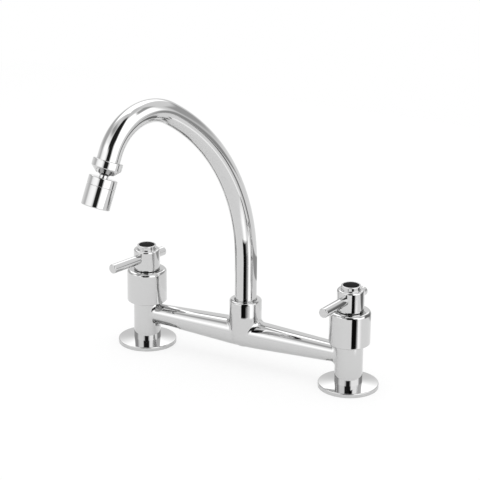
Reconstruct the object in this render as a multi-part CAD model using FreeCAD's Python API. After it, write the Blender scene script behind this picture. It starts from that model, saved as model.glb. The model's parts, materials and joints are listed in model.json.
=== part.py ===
import FreeCAD, Part
import math
import os

# Kitchen bridge mixer: two valve pillars joined by a barrel bridge, with a swivelling swan-neck spout and
# a ball-jointed aerator. Millimetres. The origin is midway between the pillars on the deck, +Z is up and
# the user stands on the -Y side.

Vec = FreeCAD.Vector
UP = Vec(0, 0, 1)

# Fits, as gaps on the radius or between two flat faces
RUNNING_GAP = 0.05
SLIP_GAP = 0.1
FACE_GAP = 0.02

# Deck fixing
INLET_CENTRES = 200.0
DECK_THICKNESS = 20.0
FLANGE_RADIUS = 26.0
FLANGE_RIM = 3.6
FLANGE_RISE = 0.9
FLANGE_ROUND = 0.8
GASKET_THICKNESS = 1.5
GASKET_INSET = 4.0
SHANK_RADIUS = 10.48
SHANK_BORE = 6.5
SHANK_BELOW_DECK = 52.0
SHANK_RELIEF_DEPTH = 0.9
SHANK_RELIEF_LENGTH = 2.5
SPIGOT_RADIUS = 9.0
SPIGOT_LENGTH = 10.0
WASHER_RADIUS = 19.0
WASHER_THICKNESS = 2.5
BACK_NUT_FLATS = 30.0
BACK_NUT_HEIGHT = 8.0

# Pillars and bridge
PILLAR_RADIUS = 12.0
BRIDGE_HEIGHT = 28.6
BRIDGE_END_RADIUS = 8.2
BRIDGE_MID_RADIUS = 12.5
BRIDGE_CROWN_LENGTH = 34.0
BRIDGE_BORE = 5.0
PILLAR_FILLET = 4.0
BOSS_RADIUS = 14.1
BOSS_TOP = 60.3
BOSS_UNDER_BRIDGE = 0.2
BOSS_FILLET = 4.0
BOSS_ROUND = 2.0
BOSS_MOUTH_ROUND = 0.9

# Valve head under the bell cover
BELL_BASE = 40.2
BELL_RADIUS = 17.7
BELL_HEIGHT = 29.3
BELL_SKIRT_WALL = 1.65
BELL_CROWN_WALL = 2.2
BELL_TOP_ROUND = 2.6
BELL_FOOT_ROUND = 0.8
COLLAR_RECESS = 0.6
COLLAR_HEIGHT = 5.2
HEAD_RADIUS = 13.0
HEAD_RISE = 8.0
HEAD_CLEARANCE = 1.2

# Quarter-turn cartridge
BARREL_RADIUS = 9.0
BARREL_BORE = 7.3
CARTRIDGE_THREAD_RADIUS = 10.2
CARTRIDGE_THREAD_LENGTH = 10.0
CARTRIDGE_HEX_FLATS = 22.0
CARTRIDGE_HEX_HEIGHT = 5.0
NECK_RADIUS = 7.6
NECK_SINK = 0.5
WINDOW_HEIGHT = 6.5
WINDOW_WIDTH = 9.0
SEAL_THICKNESS = 2.0
SEAL_PROUD = 0.6
SEAL_BORE = 5.0
SEAT_BORE = 5.5
DISC_THICKNESS = 2.5
DISC_PORT_INNER = 1.6
DISC_PORT_OUTER = 5.4
DISC_PORT_ANGLE = 70.0
HOUSING_RING_SECTION = 1.4
DRUM_TOP_CLEARANCE = 19.0
DRUM_WALL = 1.8
STEM_RADIUS = 4.0
STEM_RING_DEPTH = 0.9
STEM_RING_WIDTH = 2.0
STEM_RING_BELOW_NECK = 8.0
CLIP_THICKNESS = 0.8
CLIP_RADIUS = 6.0
CLIP_GROOVE_DEPTH = 0.7

# Handles
HUB_RADIUS = 11.6
HUB_GAP = 0.4
HUB_HEIGHT = 18.5
HUB_TOP_ROUND = 1.6
HUB_FOOT_ROUND = 0.5
RING_RADIUS = 8.4
RING_HEIGHT = 3.7
RING_ROUND = 0.6
CAP_RADIUS = 6.9
CAP_DEPTH = 2.4
CAP_CROWN = 0.35
BAR_RADIUS = 4.15
BAR_HEIGHT_ON_HUB = 10.6
BAR_FRONT = 43.4
BAR_REAR = 21.0
BAR_END_ROUND = 0.9
BAR_TURN_LEFT = 12.7
BAR_TURN_RIGHT = 6.4
SCREW_RADIUS = 1.95
SCREW_HEAD_RADIUS = 3.6
SCREW_HEAD_HEIGHT = 2.6
SCREW_KEY_FLATS = 3.0
SCREW_KEY_DEPTH = 1.4
SCREW_GRIP = 9.0
SCREW_WEB = 1.6

# Spout socket
TUBE_SINK = 7.0
THRUST_RING_THICKNESS = 1.0
TAIL_RADIUS = 8.0
TAIL_BORE = 5.5
TAIL_FLANGE_THICKNESS = 2.3
TAIL_DEPTH = 13.0
TAIL_PLUG_LENGTH = 7.0
TAIL_RING_DEPTH = 1.4
TAIL_RING_WIDTH = 2.4
TAIL_GROOVE_PITCH = 4.1
TAIL_GROOVE_FIRST = 2.6
SOCKET_FLOOR_GAP = 1.0
GRUB_RADIUS = 1.5
GRUB_SINK = 0.6
GRUB_KEY_FLATS = 1.5
GRUB_KEY_DEPTH = 2.0

# Swan-neck spout
TUBE_RADIUS = 9.5
TUBE_WALL = 1.0
SPOUT_SWING = 19.0
RISER_TOP = 93.5
SWEEP_RADIUS = 172.0
SWEEP_ANGLE = 59.7
HOOK_RADIUS = 42.4
OUTLET_TILT = 21.5
OUTLET_RUN = 6.3

# Ball-jointed aerator, measured down the outlet from the tube's end
ADAPTOR_RADIUS = 10.5
ADAPTOR_THICKNESS = 2.6
ADAPTOR_PLUG_LENGTH = 7.0
ADAPTOR_BORE = 6.5
BALL_NUT_RADIUS = 12.3
BALL_NUT_STRAIGHT = 6.0
BALL_NUT_LENGTH = 10.7
BALL_NUT_MOUTH_RADIUS = 7.4
BALL_NUT_ROUND = 0.7
BALL_RADIUS = 6.2
BALL_DEPTH = 7.1
BALL_BORE = 2.6
BALL_GAP = 0.05
BALL_LIP_GAP = 0.2
BALL_OPENING = 5.4
BALL_WASHER_THICKNESS = 2.0
BALL_SEAT_RADIUS = 8.8
BALL_SEAT_STRAIGHT = 1.45
BALL_SEAT_LENGTH = 3.65
STEM_NECK_RADIUS = 3.75
STEM_NECK_SHOWN = 3.2
CUP_RADIUS = 11.75
CUP_LENGTH = 7.0
CUP_ROOF = 3.6
CUP_ROUND = 0.9
CUP_THREAD_RADIUS = 10.3
CUP_THREAD_LENGTH = 5.0
CUP_WALL = 1.6
SHROUD_GROOVE = 0.4
SHROUD_LENGTH = 16.9
SHROUD_ROUND = 0.8
SHROUD_LIP = 1.4
SHROUD_MOUTH_RADIUS = 9.1
GASKET_RING_THICKNESS = 1.5
GASKET_RING_BORE = 7.0
INSERT_FLANGE = 1.5
INSERT_WALL = 1.2
INSERT_RADIUS = 9.4
MESH_THICKNESS = 0.6
MESH_HOLE = 1.3
MESH_PITCH = 1.9

# Heights worked out from the sizes above
FLANGE_TOP = FLANGE_RIM + FLANGE_RISE
BELL_TOP = BELL_BASE + BELL_HEIGHT
COLLAR_BASE = BELL_BASE + COLLAR_RECESS
COLLAR_TOP = COLLAR_BASE + COLLAR_HEIGHT
HEAD_TOP = COLLAR_TOP + HEAD_RISE
WINDOW_BASE = BRIDGE_HEIGHT - WINDOW_HEIGHT / 2
DISC_TOP = WINDOW_BASE - RUNNING_GAP
SEAT_HEIGHT = DISC_TOP - 2 * DISC_THICKNESS - SEAL_THICKNESS
DRUM_TOP = BELL_TOP - DRUM_TOP_CLEARANCE
NECK_TOP = BELL_TOP - NECK_SINK
HUB_BASE = BELL_TOP + HUB_GAP
HUB_TOP = HUB_BASE + HUB_HEIGHT
RING_TOP = HUB_TOP + RING_HEIGHT
CAP_SEAT = RING_TOP - CAP_DEPTH
BAR_HEIGHT = HUB_BASE + BAR_HEIGHT_ON_HUB
STEM_TOP = BAR_HEIGHT - BAR_RADIUS - SCREW_WEB / 2
SCREW_HEAD_BASE = BAR_HEIGHT + BAR_RADIUS + SCREW_WEB
TUBE_BASE = BOSS_TOP - TUBE_SINK
TAIL_FLANGE_BASE = TUBE_BASE - TAIL_FLANGE_THICKNESS
SOCKET_SHELF = TAIL_FLANGE_BASE - FACE_GAP - THRUST_RING_THICKNESS
TAIL_BASE = SOCKET_SHELF - TAIL_DEPTH
GRUB_HEIGHT = SOCKET_SHELF - TAIL_GROOVE_FIRST
TUBE_BORE = TUBE_RADIUS - TUBE_WALL
CUP_TOP = BALL_NUT_LENGTH + STEM_NECK_SHOWN
CUP_BASE = CUP_TOP + CUP_LENGTH
CUP_THREAD_BASE = CUP_BASE + CUP_THREAD_LENGTH
SHROUD_TOP = CUP_BASE + SHROUD_GROOVE
SHROUD_BASE = SHROUD_TOP + SHROUD_LENGTH
INSERT_TOP = CUP_THREAD_BASE + GASKET_RING_THICKNESS
MESH_TOP = SHROUD_BASE - SHROUD_LIP - MESH_THICKNESS

SIDES = {"left": -INLET_CENTRES / 2, "right": INLET_CENTRES / 2}
BAR_TURNS = {"left": BAR_TURN_LEFT, "right": BAR_TURN_RIGHT}


def turned(outline):
    """Solid turned about the Z axis from (radius, height) corners."""
    corners = [Vec(radius, 0, height) for radius, height in outline]
    section = Part.Face(Part.makePolygon(corners + corners[:1]))
    return section.revolve(Vec(0, 0, 0), UP, 360)


def rod(radius, low, high):
    return Part.makeCylinder(radius, high - low, Vec(0, 0, low))


def ring(outer, inner, low, high):
    return turned([(inner, low), (outer, low), (outer, high), (inner, high)])


def hexagon(flats, low, high):
    corner = flats / math.sqrt(3)
    angles = [math.radians(60 * step) for step in range(6)]
    corners = [Vec(corner * math.cos(angle), corner * math.sin(angle), low) for angle in angles]
    return Part.Face(Part.makePolygon(corners + corners[:1])).extrude(Vec(0, 0, high - low))


def drawn_edges(solid):
    """Every edge that has a length, which leaves out the points at a ball's poles."""
    return [edge for edge in solid.Edges if not edge.Degenerated]


def rim_edges(solid, radius, height):
    """The round edges of one radius at one height, about the Z axis."""
    near = 1e-4
    found = []
    for edge in drawn_edges(solid):
        if isinstance(edge.Curve, Part.Circle) and abs(edge.Curve.Radius - radius) < near:
            if abs(edge.Curve.Center.z - height) < near:
                found.append(edge)
    return found


def rounded(solid, size, radius, height):
    return solid.makeFillet(size, rim_edges(solid, radius, height))


def standing(solid, x):
    """A piece modelled on the Z axis, moved to a pillar."""
    return solid.translated(Vec(x, 0, 0))


def base_flange():
    flange = turned([
        (SHANK_RADIUS + SLIP_GAP, GASKET_THICKNESS),
        (FLANGE_RADIUS - GASKET_INSET, GASKET_THICKNESS),
        (FLANGE_RADIUS - GASKET_INSET, 0),
        (FLANGE_RADIUS, 0),
        (FLANGE_RADIUS, FLANGE_RIM),
        (PILLAR_RADIUS, FLANGE_TOP),
        (SHANK_RADIUS + SLIP_GAP, FLANGE_TOP),
    ])
    return rounded(flange, FLANGE_ROUND, FLANGE_RADIUS, FLANGE_RIM)


def deck_gasket():
    return ring(FLANGE_RADIUS - GASKET_INSET - SLIP_GAP, SHANK_RADIUS + SLIP_GAP, 0, GASKET_THICKNESS)


def inlet_shank():
    relief_top = -DECK_THICKNESS - WASHER_THICKNESS - BACK_NUT_HEIGHT
    shank = rod(SHANK_RADIUS, -SHANK_BELOW_DECK, FLANGE_TOP)
    shank = shank.fuse(rod(SPIGOT_RADIUS, FLANGE_TOP, FLANGE_TOP + SPIGOT_LENGTH))
    relief_radius = SHANK_RADIUS - SHANK_RELIEF_DEPTH
    relief = ring(SHANK_RADIUS + SLIP_GAP, relief_radius, relief_top - SHANK_RELIEF_LENGTH, relief_top)
    bore = rod(SHANK_BORE, -SHANK_BELOW_DECK, FLANGE_TOP + SPIGOT_LENGTH)
    return shank.cut(relief).cut(bore)


def clamp_washer():
    return ring(WASHER_RADIUS, SHANK_RADIUS + SLIP_GAP, -DECK_THICKNESS - WASHER_THICKNESS, -DECK_THICKNESS)


def back_nut():
    top = -DECK_THICKNESS - WASHER_THICKNESS
    bottom = top - BACK_NUT_HEIGHT
    return hexagon(BACK_NUT_FLATS, bottom, top).cut(rod(SHANK_RADIUS + RUNNING_GAP, bottom, top))


def bridge_barrel():
    """The barrel between the pillars: straight tapers that run into a round crown at the middle."""
    half = INLET_CENTRES / 2
    crown = BRIDGE_CROWN_LENGTH / 2
    slope = (BRIDGE_MID_RADIUS - BRIDGE_END_RADIUS) / (half - crown / 2)
    crown_radius = BRIDGE_MID_RADIUS - slope * crown / 2
    left_end = Vec(-half, 0, -BRIDGE_END_RADIUS)
    left_crown = Vec(-crown, 0, -crown_radius)
    right_crown = Vec(crown, 0, -crown_radius)
    right_end = Vec(half, 0, -BRIDGE_END_RADIUS)
    section = Part.Wire([
        Part.LineSegment(Vec(-half, 0, 0), left_end).toShape(),
        Part.LineSegment(left_end, left_crown).toShape(),
        Part.Arc(left_crown, Vec(0, 0, -BRIDGE_MID_RADIUS), right_crown).toShape(),
        Part.LineSegment(right_crown, right_end).toShape(),
        Part.LineSegment(right_end, Vec(half, 0, 0)).toShape(),
        Part.LineSegment(Vec(half, 0, 0), Vec(-half, 0, 0)).toShape(),
    ])
    barrel = Part.Face(section).revolve(Vec(0, 0, 0), Vec(1, 0, 0), 360)
    return barrel.translated(Vec(0, 0, BRIDGE_HEIGHT))


def joint_edges(solid, x, reach):
    """The saddle-shaped edges where the barrel meets an upright, which lie off every plane."""
    curved = [edge for edge in drawn_edges(solid) if not isinstance(edge.Curve, (Part.Circle, Part.Line))]
    return [edge for edge in curved if abs(edge.BoundBox.Center.x - x) < reach]


def spout_boss():
    """The upright that takes the spout, with a round lower end that swells out of the barrel."""
    foot = BRIDGE_HEIGHT - BRIDGE_MID_RADIUS - BOSS_UNDER_BRIDGE + BOSS_RADIUS
    boss = rod(BOSS_RADIUS, foot, BOSS_TOP)
    boss = boss.fuse(Part.makeSphere(BOSS_RADIUS, Vec(0, 0, foot)))
    return boss.removeSplitter()


def spout_socket():
    """What is hollow in the boss: mouth for the tube, bore for the tail and the way down to the channel."""
    floor = TAIL_BASE - SOCKET_FLOOR_GAP
    hollow = rod(BRIDGE_BORE, BRIDGE_HEIGHT, floor)
    hollow = hollow.fuse(rod(TAIL_RADIUS + RUNNING_GAP, floor, SOCKET_SHELF))
    return hollow.fuse(rod(TUBE_RADIUS + SLIP_GAP, SOCKET_SHELF, BOSS_TOP))


def grub_hole(radius):
    return Part.makeCylinder(radius, BOSS_RADIUS, Vec(0, 0, GRUB_HEIGHT), Vec(0, 1, 0))


def valve_pillar_bores():
    """What is hollow in one pillar: shank thread, valve seat, barrel bore and cartridge thread."""
    thread_base = HEAD_TOP - CARTRIDGE_THREAD_LENGTH
    hollow = rod(SPIGOT_RADIUS + RUNNING_GAP, FLANGE_TOP, FLANGE_TOP + SPIGOT_LENGTH)
    hollow = hollow.fuse(rod(SEAT_BORE, FLANGE_TOP, SEAT_HEIGHT))
    hollow = hollow.fuse(rod(BARREL_RADIUS + SLIP_GAP, SEAT_HEIGHT, HEAD_TOP))
    return hollow.fuse(rod(CARTRIDGE_THREAD_RADIUS + RUNNING_GAP, thread_base, HEAD_TOP))


def bridge_body():
    casting = bridge_barrel().fuse(spout_boss())
    for x in SIDES.values():
        casting = casting.fuse(standing(rod(PILLAR_RADIUS, FLANGE_TOP, COLLAR_BASE), x))
    casting = casting.removeSplitter()
    for x in SIDES.values():
        casting = casting.makeFillet(PILLAR_FILLET, joint_edges(casting, x, PILLAR_RADIUS))
    casting = casting.makeFillet(BOSS_FILLET, joint_edges(casting, 0, BOSS_RADIUS))
    casting = rounded(casting, BOSS_ROUND, BOSS_RADIUS, BOSS_TOP)
    channel_start = Vec(-INLET_CENTRES / 2, 0, BRIDGE_HEIGHT)
    hollow = Part.makeCylinder(BRIDGE_BORE, INLET_CENTRES, channel_start, Vec(1, 0, 0))
    for x in SIDES.values():
        head = rod(BELL_RADIUS - BELL_SKIRT_WALL - RUNNING_GAP, COLLAR_BASE, COLLAR_TOP)
        head = head.fuse(rod(HEAD_RADIUS, COLLAR_TOP, HEAD_TOP))
        casting = casting.fuse(standing(head, x))
        hollow = hollow.fuse(standing(valve_pillar_bores(), x))
    casting = casting.cut(hollow).cut(spout_socket())
    casting = rounded(casting, BOSS_MOUTH_ROUND, TUBE_RADIUS + SLIP_GAP, BOSS_TOP)
    return casting.cut(grub_hole(GRUB_RADIUS + RUNNING_GAP))


def bell_cover():
    skirt = BELL_RADIUS - BELL_SKIRT_WALL
    barrel = HEAD_RADIUS + HEAD_CLEARANCE
    mouth = NECK_RADIUS + SLIP_GAP
    bell = turned([
        (skirt, BELL_BASE),
        (BELL_RADIUS, BELL_BASE),
        (BELL_RADIUS, BELL_TOP),
        (mouth, BELL_TOP),
        (mouth, BELL_TOP - BELL_CROWN_WALL),
        (barrel, BELL_TOP - BELL_CROWN_WALL),
        (barrel, COLLAR_TOP),
        (skirt, COLLAR_TOP),
    ])
    bell = rounded(bell, BELL_TOP_ROUND, BELL_RADIUS, BELL_TOP)
    return rounded(bell, BELL_FOOT_ROUND, BELL_RADIUS, BELL_BASE)


def window_cut(depth):
    """Two opposite side openings at the height of the bridge's channel."""
    return Part.makeBox(2 * depth, WINDOW_WIDTH, WINDOW_HEIGHT, Vec(-depth, -WINDOW_WIDTH / 2, WINDOW_BASE))


def cartridge_housing():
    thread_base = HEAD_TOP - CARTRIDGE_THREAD_LENGTH
    hex_top = HEAD_TOP + CARTRIDGE_HEX_HEIGHT
    housing = rod(BARREL_RADIUS, SEAT_HEIGHT + SEAL_PROUD, thread_base)
    housing = housing.fuse(rod(CARTRIDGE_THREAD_RADIUS, thread_base, HEAD_TOP))
    housing = housing.fuse(hexagon(CARTRIDGE_HEX_FLATS, HEAD_TOP, hex_top))
    housing = housing.fuse(rod(NECK_RADIUS, hex_top, NECK_TOP))
    housing = housing.cut(rod(BARREL_BORE, SEAT_HEIGHT, DRUM_TOP + RUNNING_GAP))
    housing = housing.cut(rod(STEM_RADIUS + RUNNING_GAP, DRUM_TOP, NECK_TOP))
    groove = ring(BARREL_RADIUS + SLIP_GAP, BARREL_RADIUS - HOUSING_RING_SECTION, *housing_ring_heights())
    return housing.cut(window_cut(BARREL_RADIUS)).cut(groove)


def housing_ring_heights():
    top = HEAD_TOP - CARTRIDGE_THREAD_LENGTH - HOUSING_RING_SECTION
    return top - HOUSING_RING_SECTION, top


def housing_oring():
    low, high = housing_ring_heights()
    return ring(BARREL_RADIUS + RUNNING_GAP, BARREL_RADIUS - HOUSING_RING_SECTION, low, high)


def seat_seal():
    return ring(BARREL_BORE - RUNNING_GAP, SEAL_BORE, SEAT_HEIGHT, SEAT_HEIGHT + SEAL_THICKNESS)


def ported_disc(low, high, turn):
    """A ceramic disc with two opposite sector ports."""
    disc = rod(BARREL_BORE - RUNNING_GAP, low, high)
    for half_turn in (0, 180):
        start = turn + half_turn - DISC_PORT_ANGLE / 2
        port = Part.makeCylinder(DISC_PORT_OUTER, high - low, Vec(0, 0, low), UP, DISC_PORT_ANGLE)
        port = port.cut(rod(DISC_PORT_INNER, low, high))
        port.rotate(Vec(0, 0, 0), UP, start)
        disc = disc.cut(port)
    return disc


def fixed_disc():
    low = SEAT_HEIGHT + SEAL_THICKNESS
    return ported_disc(low, low + DISC_THICKNESS - FACE_GAP, 0)


def moving_disc():
    return ported_disc(DISC_TOP - DISC_THICKNESS, DISC_TOP, 90)


def stem_ring_heights():
    top = NECK_TOP - STEM_RING_BELOW_NECK
    return top - STEM_RING_WIDTH, top


def clip_heights():
    low = NECK_TOP + FACE_GAP
    return low, low + CLIP_THICKNESS


def spindle():
    stem = rod(BARREL_BORE - RUNNING_GAP, DISC_TOP, DRUM_TOP)
    stem = stem.cut(rod(BARREL_BORE - DRUM_WALL, DISC_TOP, WINDOW_BASE + WINDOW_HEIGHT))
    stem = stem.cut(window_cut(BARREL_RADIUS))
    stem = stem.fuse(rod(STEM_RADIUS, DRUM_TOP, STEM_TOP))
    stem = stem.cut(ring(STEM_RADIUS + SLIP_GAP, STEM_RADIUS - STEM_RING_DEPTH, *stem_ring_heights()))
    stem = stem.cut(ring(STEM_RADIUS + SLIP_GAP, STEM_RADIUS - CLIP_GROOVE_DEPTH, *clip_heights()))
    return stem.cut(rod(SCREW_RADIUS + RUNNING_GAP, STEM_TOP - SCREW_GRIP - SCREW_WEB, STEM_TOP))


def spindle_oring():
    return ring(STEM_RADIUS + RUNNING_GAP / 2, STEM_RADIUS - STEM_RING_DEPTH, *stem_ring_heights())


def spindle_clip():
    low, high = clip_heights()
    clip = ring(CLIP_RADIUS, STEM_RADIUS - CLIP_GROOVE_DEPTH, low, high)
    mouth = Part.makeBox(CLIP_RADIUS, STEM_RADIUS, high - low, Vec(0, -STEM_RADIUS / 2, low))
    return clip.cut(mouth)


def lever(radius):
    """The long plain bar through the hub, long at the front and short behind."""
    return Part.makeCylinder(radius, BAR_FRONT + BAR_REAR, Vec(0, BAR_REAR, BAR_HEIGHT), Vec(0, -1, 0))


def handle_hub():
    hub = turned([
        (0, HUB_BASE),
        (HUB_RADIUS, HUB_BASE),
        (HUB_RADIUS, HUB_TOP),
        (RING_RADIUS, HUB_TOP),
        (RING_RADIUS, RING_TOP),
        (0, RING_TOP),
    ])
    hub = rounded(hub, HUB_TOP_ROUND, HUB_RADIUS, HUB_TOP)
    hub = rounded(hub, HUB_FOOT_ROUND, HUB_RADIUS, HUB_BASE)
    hub = rounded(hub, RING_ROUND, RING_RADIUS, RING_TOP)
    hub = hub.cut(rod(CAP_RADIUS + RUNNING_GAP, CAP_SEAT, RING_TOP))
    hub = hub.cut(rod(SCREW_HEAD_RADIUS + SLIP_GAP, SCREW_HEAD_BASE, CAP_SEAT))
    hub = hub.cut(rod(SCREW_RADIUS + SLIP_GAP, HUB_BASE, CAP_SEAT))
    hub = hub.cut(rod(STEM_RADIUS + RUNNING_GAP, HUB_BASE, STEM_TOP))
    return hub.cut(lever(BAR_RADIUS + RUNNING_GAP))


def handle_bar():
    bar = lever(BAR_RADIUS)
    ends = [edge for edge in bar.Edges if isinstance(edge.Curve, Part.Circle)]
    bar = bar.makeFillet(BAR_END_ROUND, ends)
    return bar.cut(rod(SCREW_RADIUS + SLIP_GAP, BAR_HEIGHT - 2 * BAR_RADIUS, BAR_HEIGHT + 2 * BAR_RADIUS))


def handle_screw():
    head_top = SCREW_HEAD_BASE + SCREW_HEAD_HEIGHT
    screw = rod(SCREW_RADIUS, STEM_TOP - SCREW_GRIP, SCREW_HEAD_BASE)
    screw = screw.fuse(rod(SCREW_HEAD_RADIUS, SCREW_HEAD_BASE, head_top))
    return screw.cut(hexagon(SCREW_KEY_FLATS, head_top - SCREW_KEY_DEPTH, head_top))


def index_cap():
    """The dark insert that hides the screw, with a slightly domed face."""
    edge = Vec(CAP_RADIUS, 0, RING_TOP)
    crown = Vec(0, 0, RING_TOP + CAP_CROWN)
    dome_radius = (CAP_RADIUS ** 2 + CAP_CROWN ** 2) / (2 * CAP_CROWN)
    half_angle = math.asin(CAP_RADIUS / dome_radius) / 2
    middle_drop = dome_radius * (1 - math.cos(half_angle))
    middle = Vec(dome_radius * math.sin(half_angle), 0, RING_TOP + CAP_CROWN - middle_drop)
    section = Part.Wire([
        Part.LineSegment(Vec(0, 0, CAP_SEAT), Vec(CAP_RADIUS, 0, CAP_SEAT)).toShape(),
        Part.LineSegment(Vec(CAP_RADIUS, 0, CAP_SEAT), edge).toShape(),
        Part.Arc(edge, middle, crown).toShape(),
        Part.LineSegment(crown, Vec(0, 0, CAP_SEAT)).toShape(),
    ])
    return Part.Face(section).revolve(Vec(0, 0, 0), UP, 360)


def thrust_ring():
    """The nylon ring that the spout turns on."""
    return ring(TUBE_RADIUS, TAIL_RADIUS + SLIP_GAP, SOCKET_SHELF, SOCKET_SHELF + THRUST_RING_THICKNESS)


def tail_groove(number, width):
    """Heights of a groove in the tail, counted down from the one that the grub screw runs in."""
    middle = GRUB_HEIGHT - number * TAIL_GROOVE_PITCH
    return middle - width / 2, middle + width / 2


def spout_tail():
    plug_top = TUBE_BASE + TAIL_PLUG_LENGTH
    floor = TAIL_RADIUS - TAIL_RING_DEPTH
    tail = rod(TAIL_RADIUS, TAIL_BASE, TAIL_FLANGE_BASE)
    tail = tail.fuse(rod(TUBE_RADIUS, TAIL_FLANGE_BASE, TUBE_BASE))
    tail = tail.fuse(rod(TUBE_BORE - RUNNING_GAP, TUBE_BASE, plug_top))
    screw_width = 2 * GRUB_RADIUS + 2 * SLIP_GAP
    grooves = [tail_groove(0, screw_width)] + [tail_groove(number, TAIL_RING_WIDTH) for number in (1, 2)]
    for low, high in grooves:
        tail = tail.cut(ring(TAIL_RADIUS + SLIP_GAP, floor, low, high))
    return tail.cut(rod(TAIL_BORE, TAIL_BASE, plug_top))


def spout_orings():
    outer = TAIL_RADIUS + RUNNING_GAP / 2
    floor = TAIL_RADIUS - TAIL_RING_DEPTH
    return Part.makeCompound([ring(outer, floor, *tail_groove(number, TAIL_RING_WIDTH)) for number in (1, 2)])


def spout_grub_screw():
    """The screw behind the boss, whose point runs in the tail's top groove and keeps the spout in."""
    point = TAIL_RADIUS - TAIL_RING_DEPTH + SLIP_GAP
    head = BOSS_RADIUS - GRUB_SINK
    along = Vec(0, 1, 0)
    screw = Part.makeCylinder(GRUB_RADIUS, head - point, Vec(0, point, GRUB_HEIGHT), along)
    key = hexagon(GRUB_KEY_FLATS, 0, GRUB_KEY_DEPTH).rotated(Vec(0, 0, 0), Vec(1, 0, 0), -90)
    return screw.cut(key.translated(Vec(0, head - GRUB_KEY_DEPTH, GRUB_HEIGHT)))


def in_plane(out, height):
    """A point of the spout's own plane, before the spout is swung: out is towards the user."""
    return Vec(0, -out, height)


def swung(solid):
    """A spout piece, turned about the riser to where the spout stands at rest."""
    return solid.rotated(Vec(0, 0, 0), UP, -SPOUT_SWING)


def on_arc(centre_out, centre_height, radius, degrees):
    angle = math.radians(degrees)
    return centre_out - radius * math.cos(angle), centre_height + radius * math.sin(angle)


def spout_stations():
    """The spout's centre line: riser, long sweep, tight hook and a short straight run to the outlet."""
    hook_end = 180 - OUTLET_TILT
    sweep_centre = (SWEEP_RADIUS, RISER_TOP)
    sweep = [on_arc(*sweep_centre, SWEEP_RADIUS, turn) for turn in (SWEEP_ANGLE / 2, SWEEP_ANGLE)]
    hook_centre = on_arc(*sweep_centre, SWEEP_RADIUS - HOOK_RADIUS, SWEEP_ANGLE)
    hook_turns = ((SWEEP_ANGLE + hook_end) / 2, hook_end)
    hook = [on_arc(*hook_centre, HOOK_RADIUS, turn) for turn in hook_turns]
    tilt = math.radians(OUTLET_TILT)
    outlet = (hook[1][0] + OUTLET_RUN * math.sin(tilt), hook[1][1] - OUTLET_RUN * math.cos(tilt))
    return [(0, TUBE_BASE), (0, RISER_TOP)] + sweep + hook + [outlet]


def swept(radius, stations):
    base, riser, sweep_middle, sweep_end, hook_middle, hook_end, outlet = [in_plane(*s) for s in stations]
    path = Part.Wire([
        Part.LineSegment(base, riser).toShape(),
        Part.Arc(riser, sweep_middle, sweep_end).toShape(),
        Part.Arc(sweep_end, hook_middle, hook_end).toShape(),
        Part.LineSegment(hook_end, outlet).toShape(),
    ])
    section = Part.Wire(Part.Circle(base, UP, radius).toShape())
    return path.makePipeShell([section], True, False)


def spout_tube():
    stations = spout_stations()
    tube = swept(TUBE_RADIUS, stations).cut(swept(TUBE_BORE, stations))
    length = swept_length()
    section = math.pi * (TUBE_RADIUS ** 2 - TUBE_BORE ** 2)
    print("spout tube: volume over section times length", round(tube.Volume / (section * length), 4))
    return swung(tube)


def swept_length():
    sweep = SWEEP_RADIUS * math.radians(SWEEP_ANGLE)
    hook = HOOK_RADIUS * math.radians(180 - OUTLET_TILT - SWEEP_ANGLE)
    return RISER_TOP - TUBE_BASE + sweep + hook + OUTLET_RUN


def at_outlet(solid):
    """A piece modelled downwards from the origin, set on the tube's end along the outlet's axis."""
    out, height = spout_stations()[-1]
    tilted = solid.rotated(Vec(0, 0, 0), Vec(1, 0, 0), -OUTLET_TILT)
    return swung(tilted.translated(in_plane(out, height)))


def down(outline):
    """Corners given as (radius, depth below the tube's end), turned into a solid."""
    return turned([(radius, -depth) for radius, depth in outline])


def down_ring(outer, inner, top, base):
    return down([(inner, top), (outer, top), (outer, base), (inner, base)])


def down_rod(radius, top, base):
    return rod(radius, -base, -top)


def ball(radius):
    return Part.makeSphere(radius, Vec(0, 0, -BALL_DEPTH))


def outlet_adaptor():
    adaptor = down_ring(ADAPTOR_RADIUS, ADAPTOR_BORE, 0, ADAPTOR_THICKNESS)
    return adaptor.fuse(down_ring(TUBE_BORE - RUNNING_GAP, ADAPTOR_BORE, -ADAPTOR_PLUG_LENGTH, 0))


def ball_washer():
    base = ADAPTOR_THICKNESS + BALL_WASHER_THICKNESS
    washer = down_rod(ADAPTOR_RADIUS - SLIP_GAP, ADAPTOR_THICKNESS, base)
    return washer.cut(ball(BALL_RADIUS + BALL_GAP))


def seat_outline(gap):
    """The outside of the ball's nylon seat: a short straight part and a cone that sits in the nut."""
    top = ADAPTOR_THICKNESS + BALL_WASHER_THICKNESS + RUNNING_GAP - gap
    shoulder = top + BALL_SEAT_STRAIGHT + gap
    base = top + BALL_SEAT_LENGTH + gap
    radius = BALL_SEAT_RADIUS + gap
    return [(0, top), (radius, top), (radius, shoulder), (radius - (base - shoulder), base), (0, base)]


def ball_seat():
    return down(seat_outline(0)).cut(ball(BALL_RADIUS + BALL_GAP))


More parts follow.
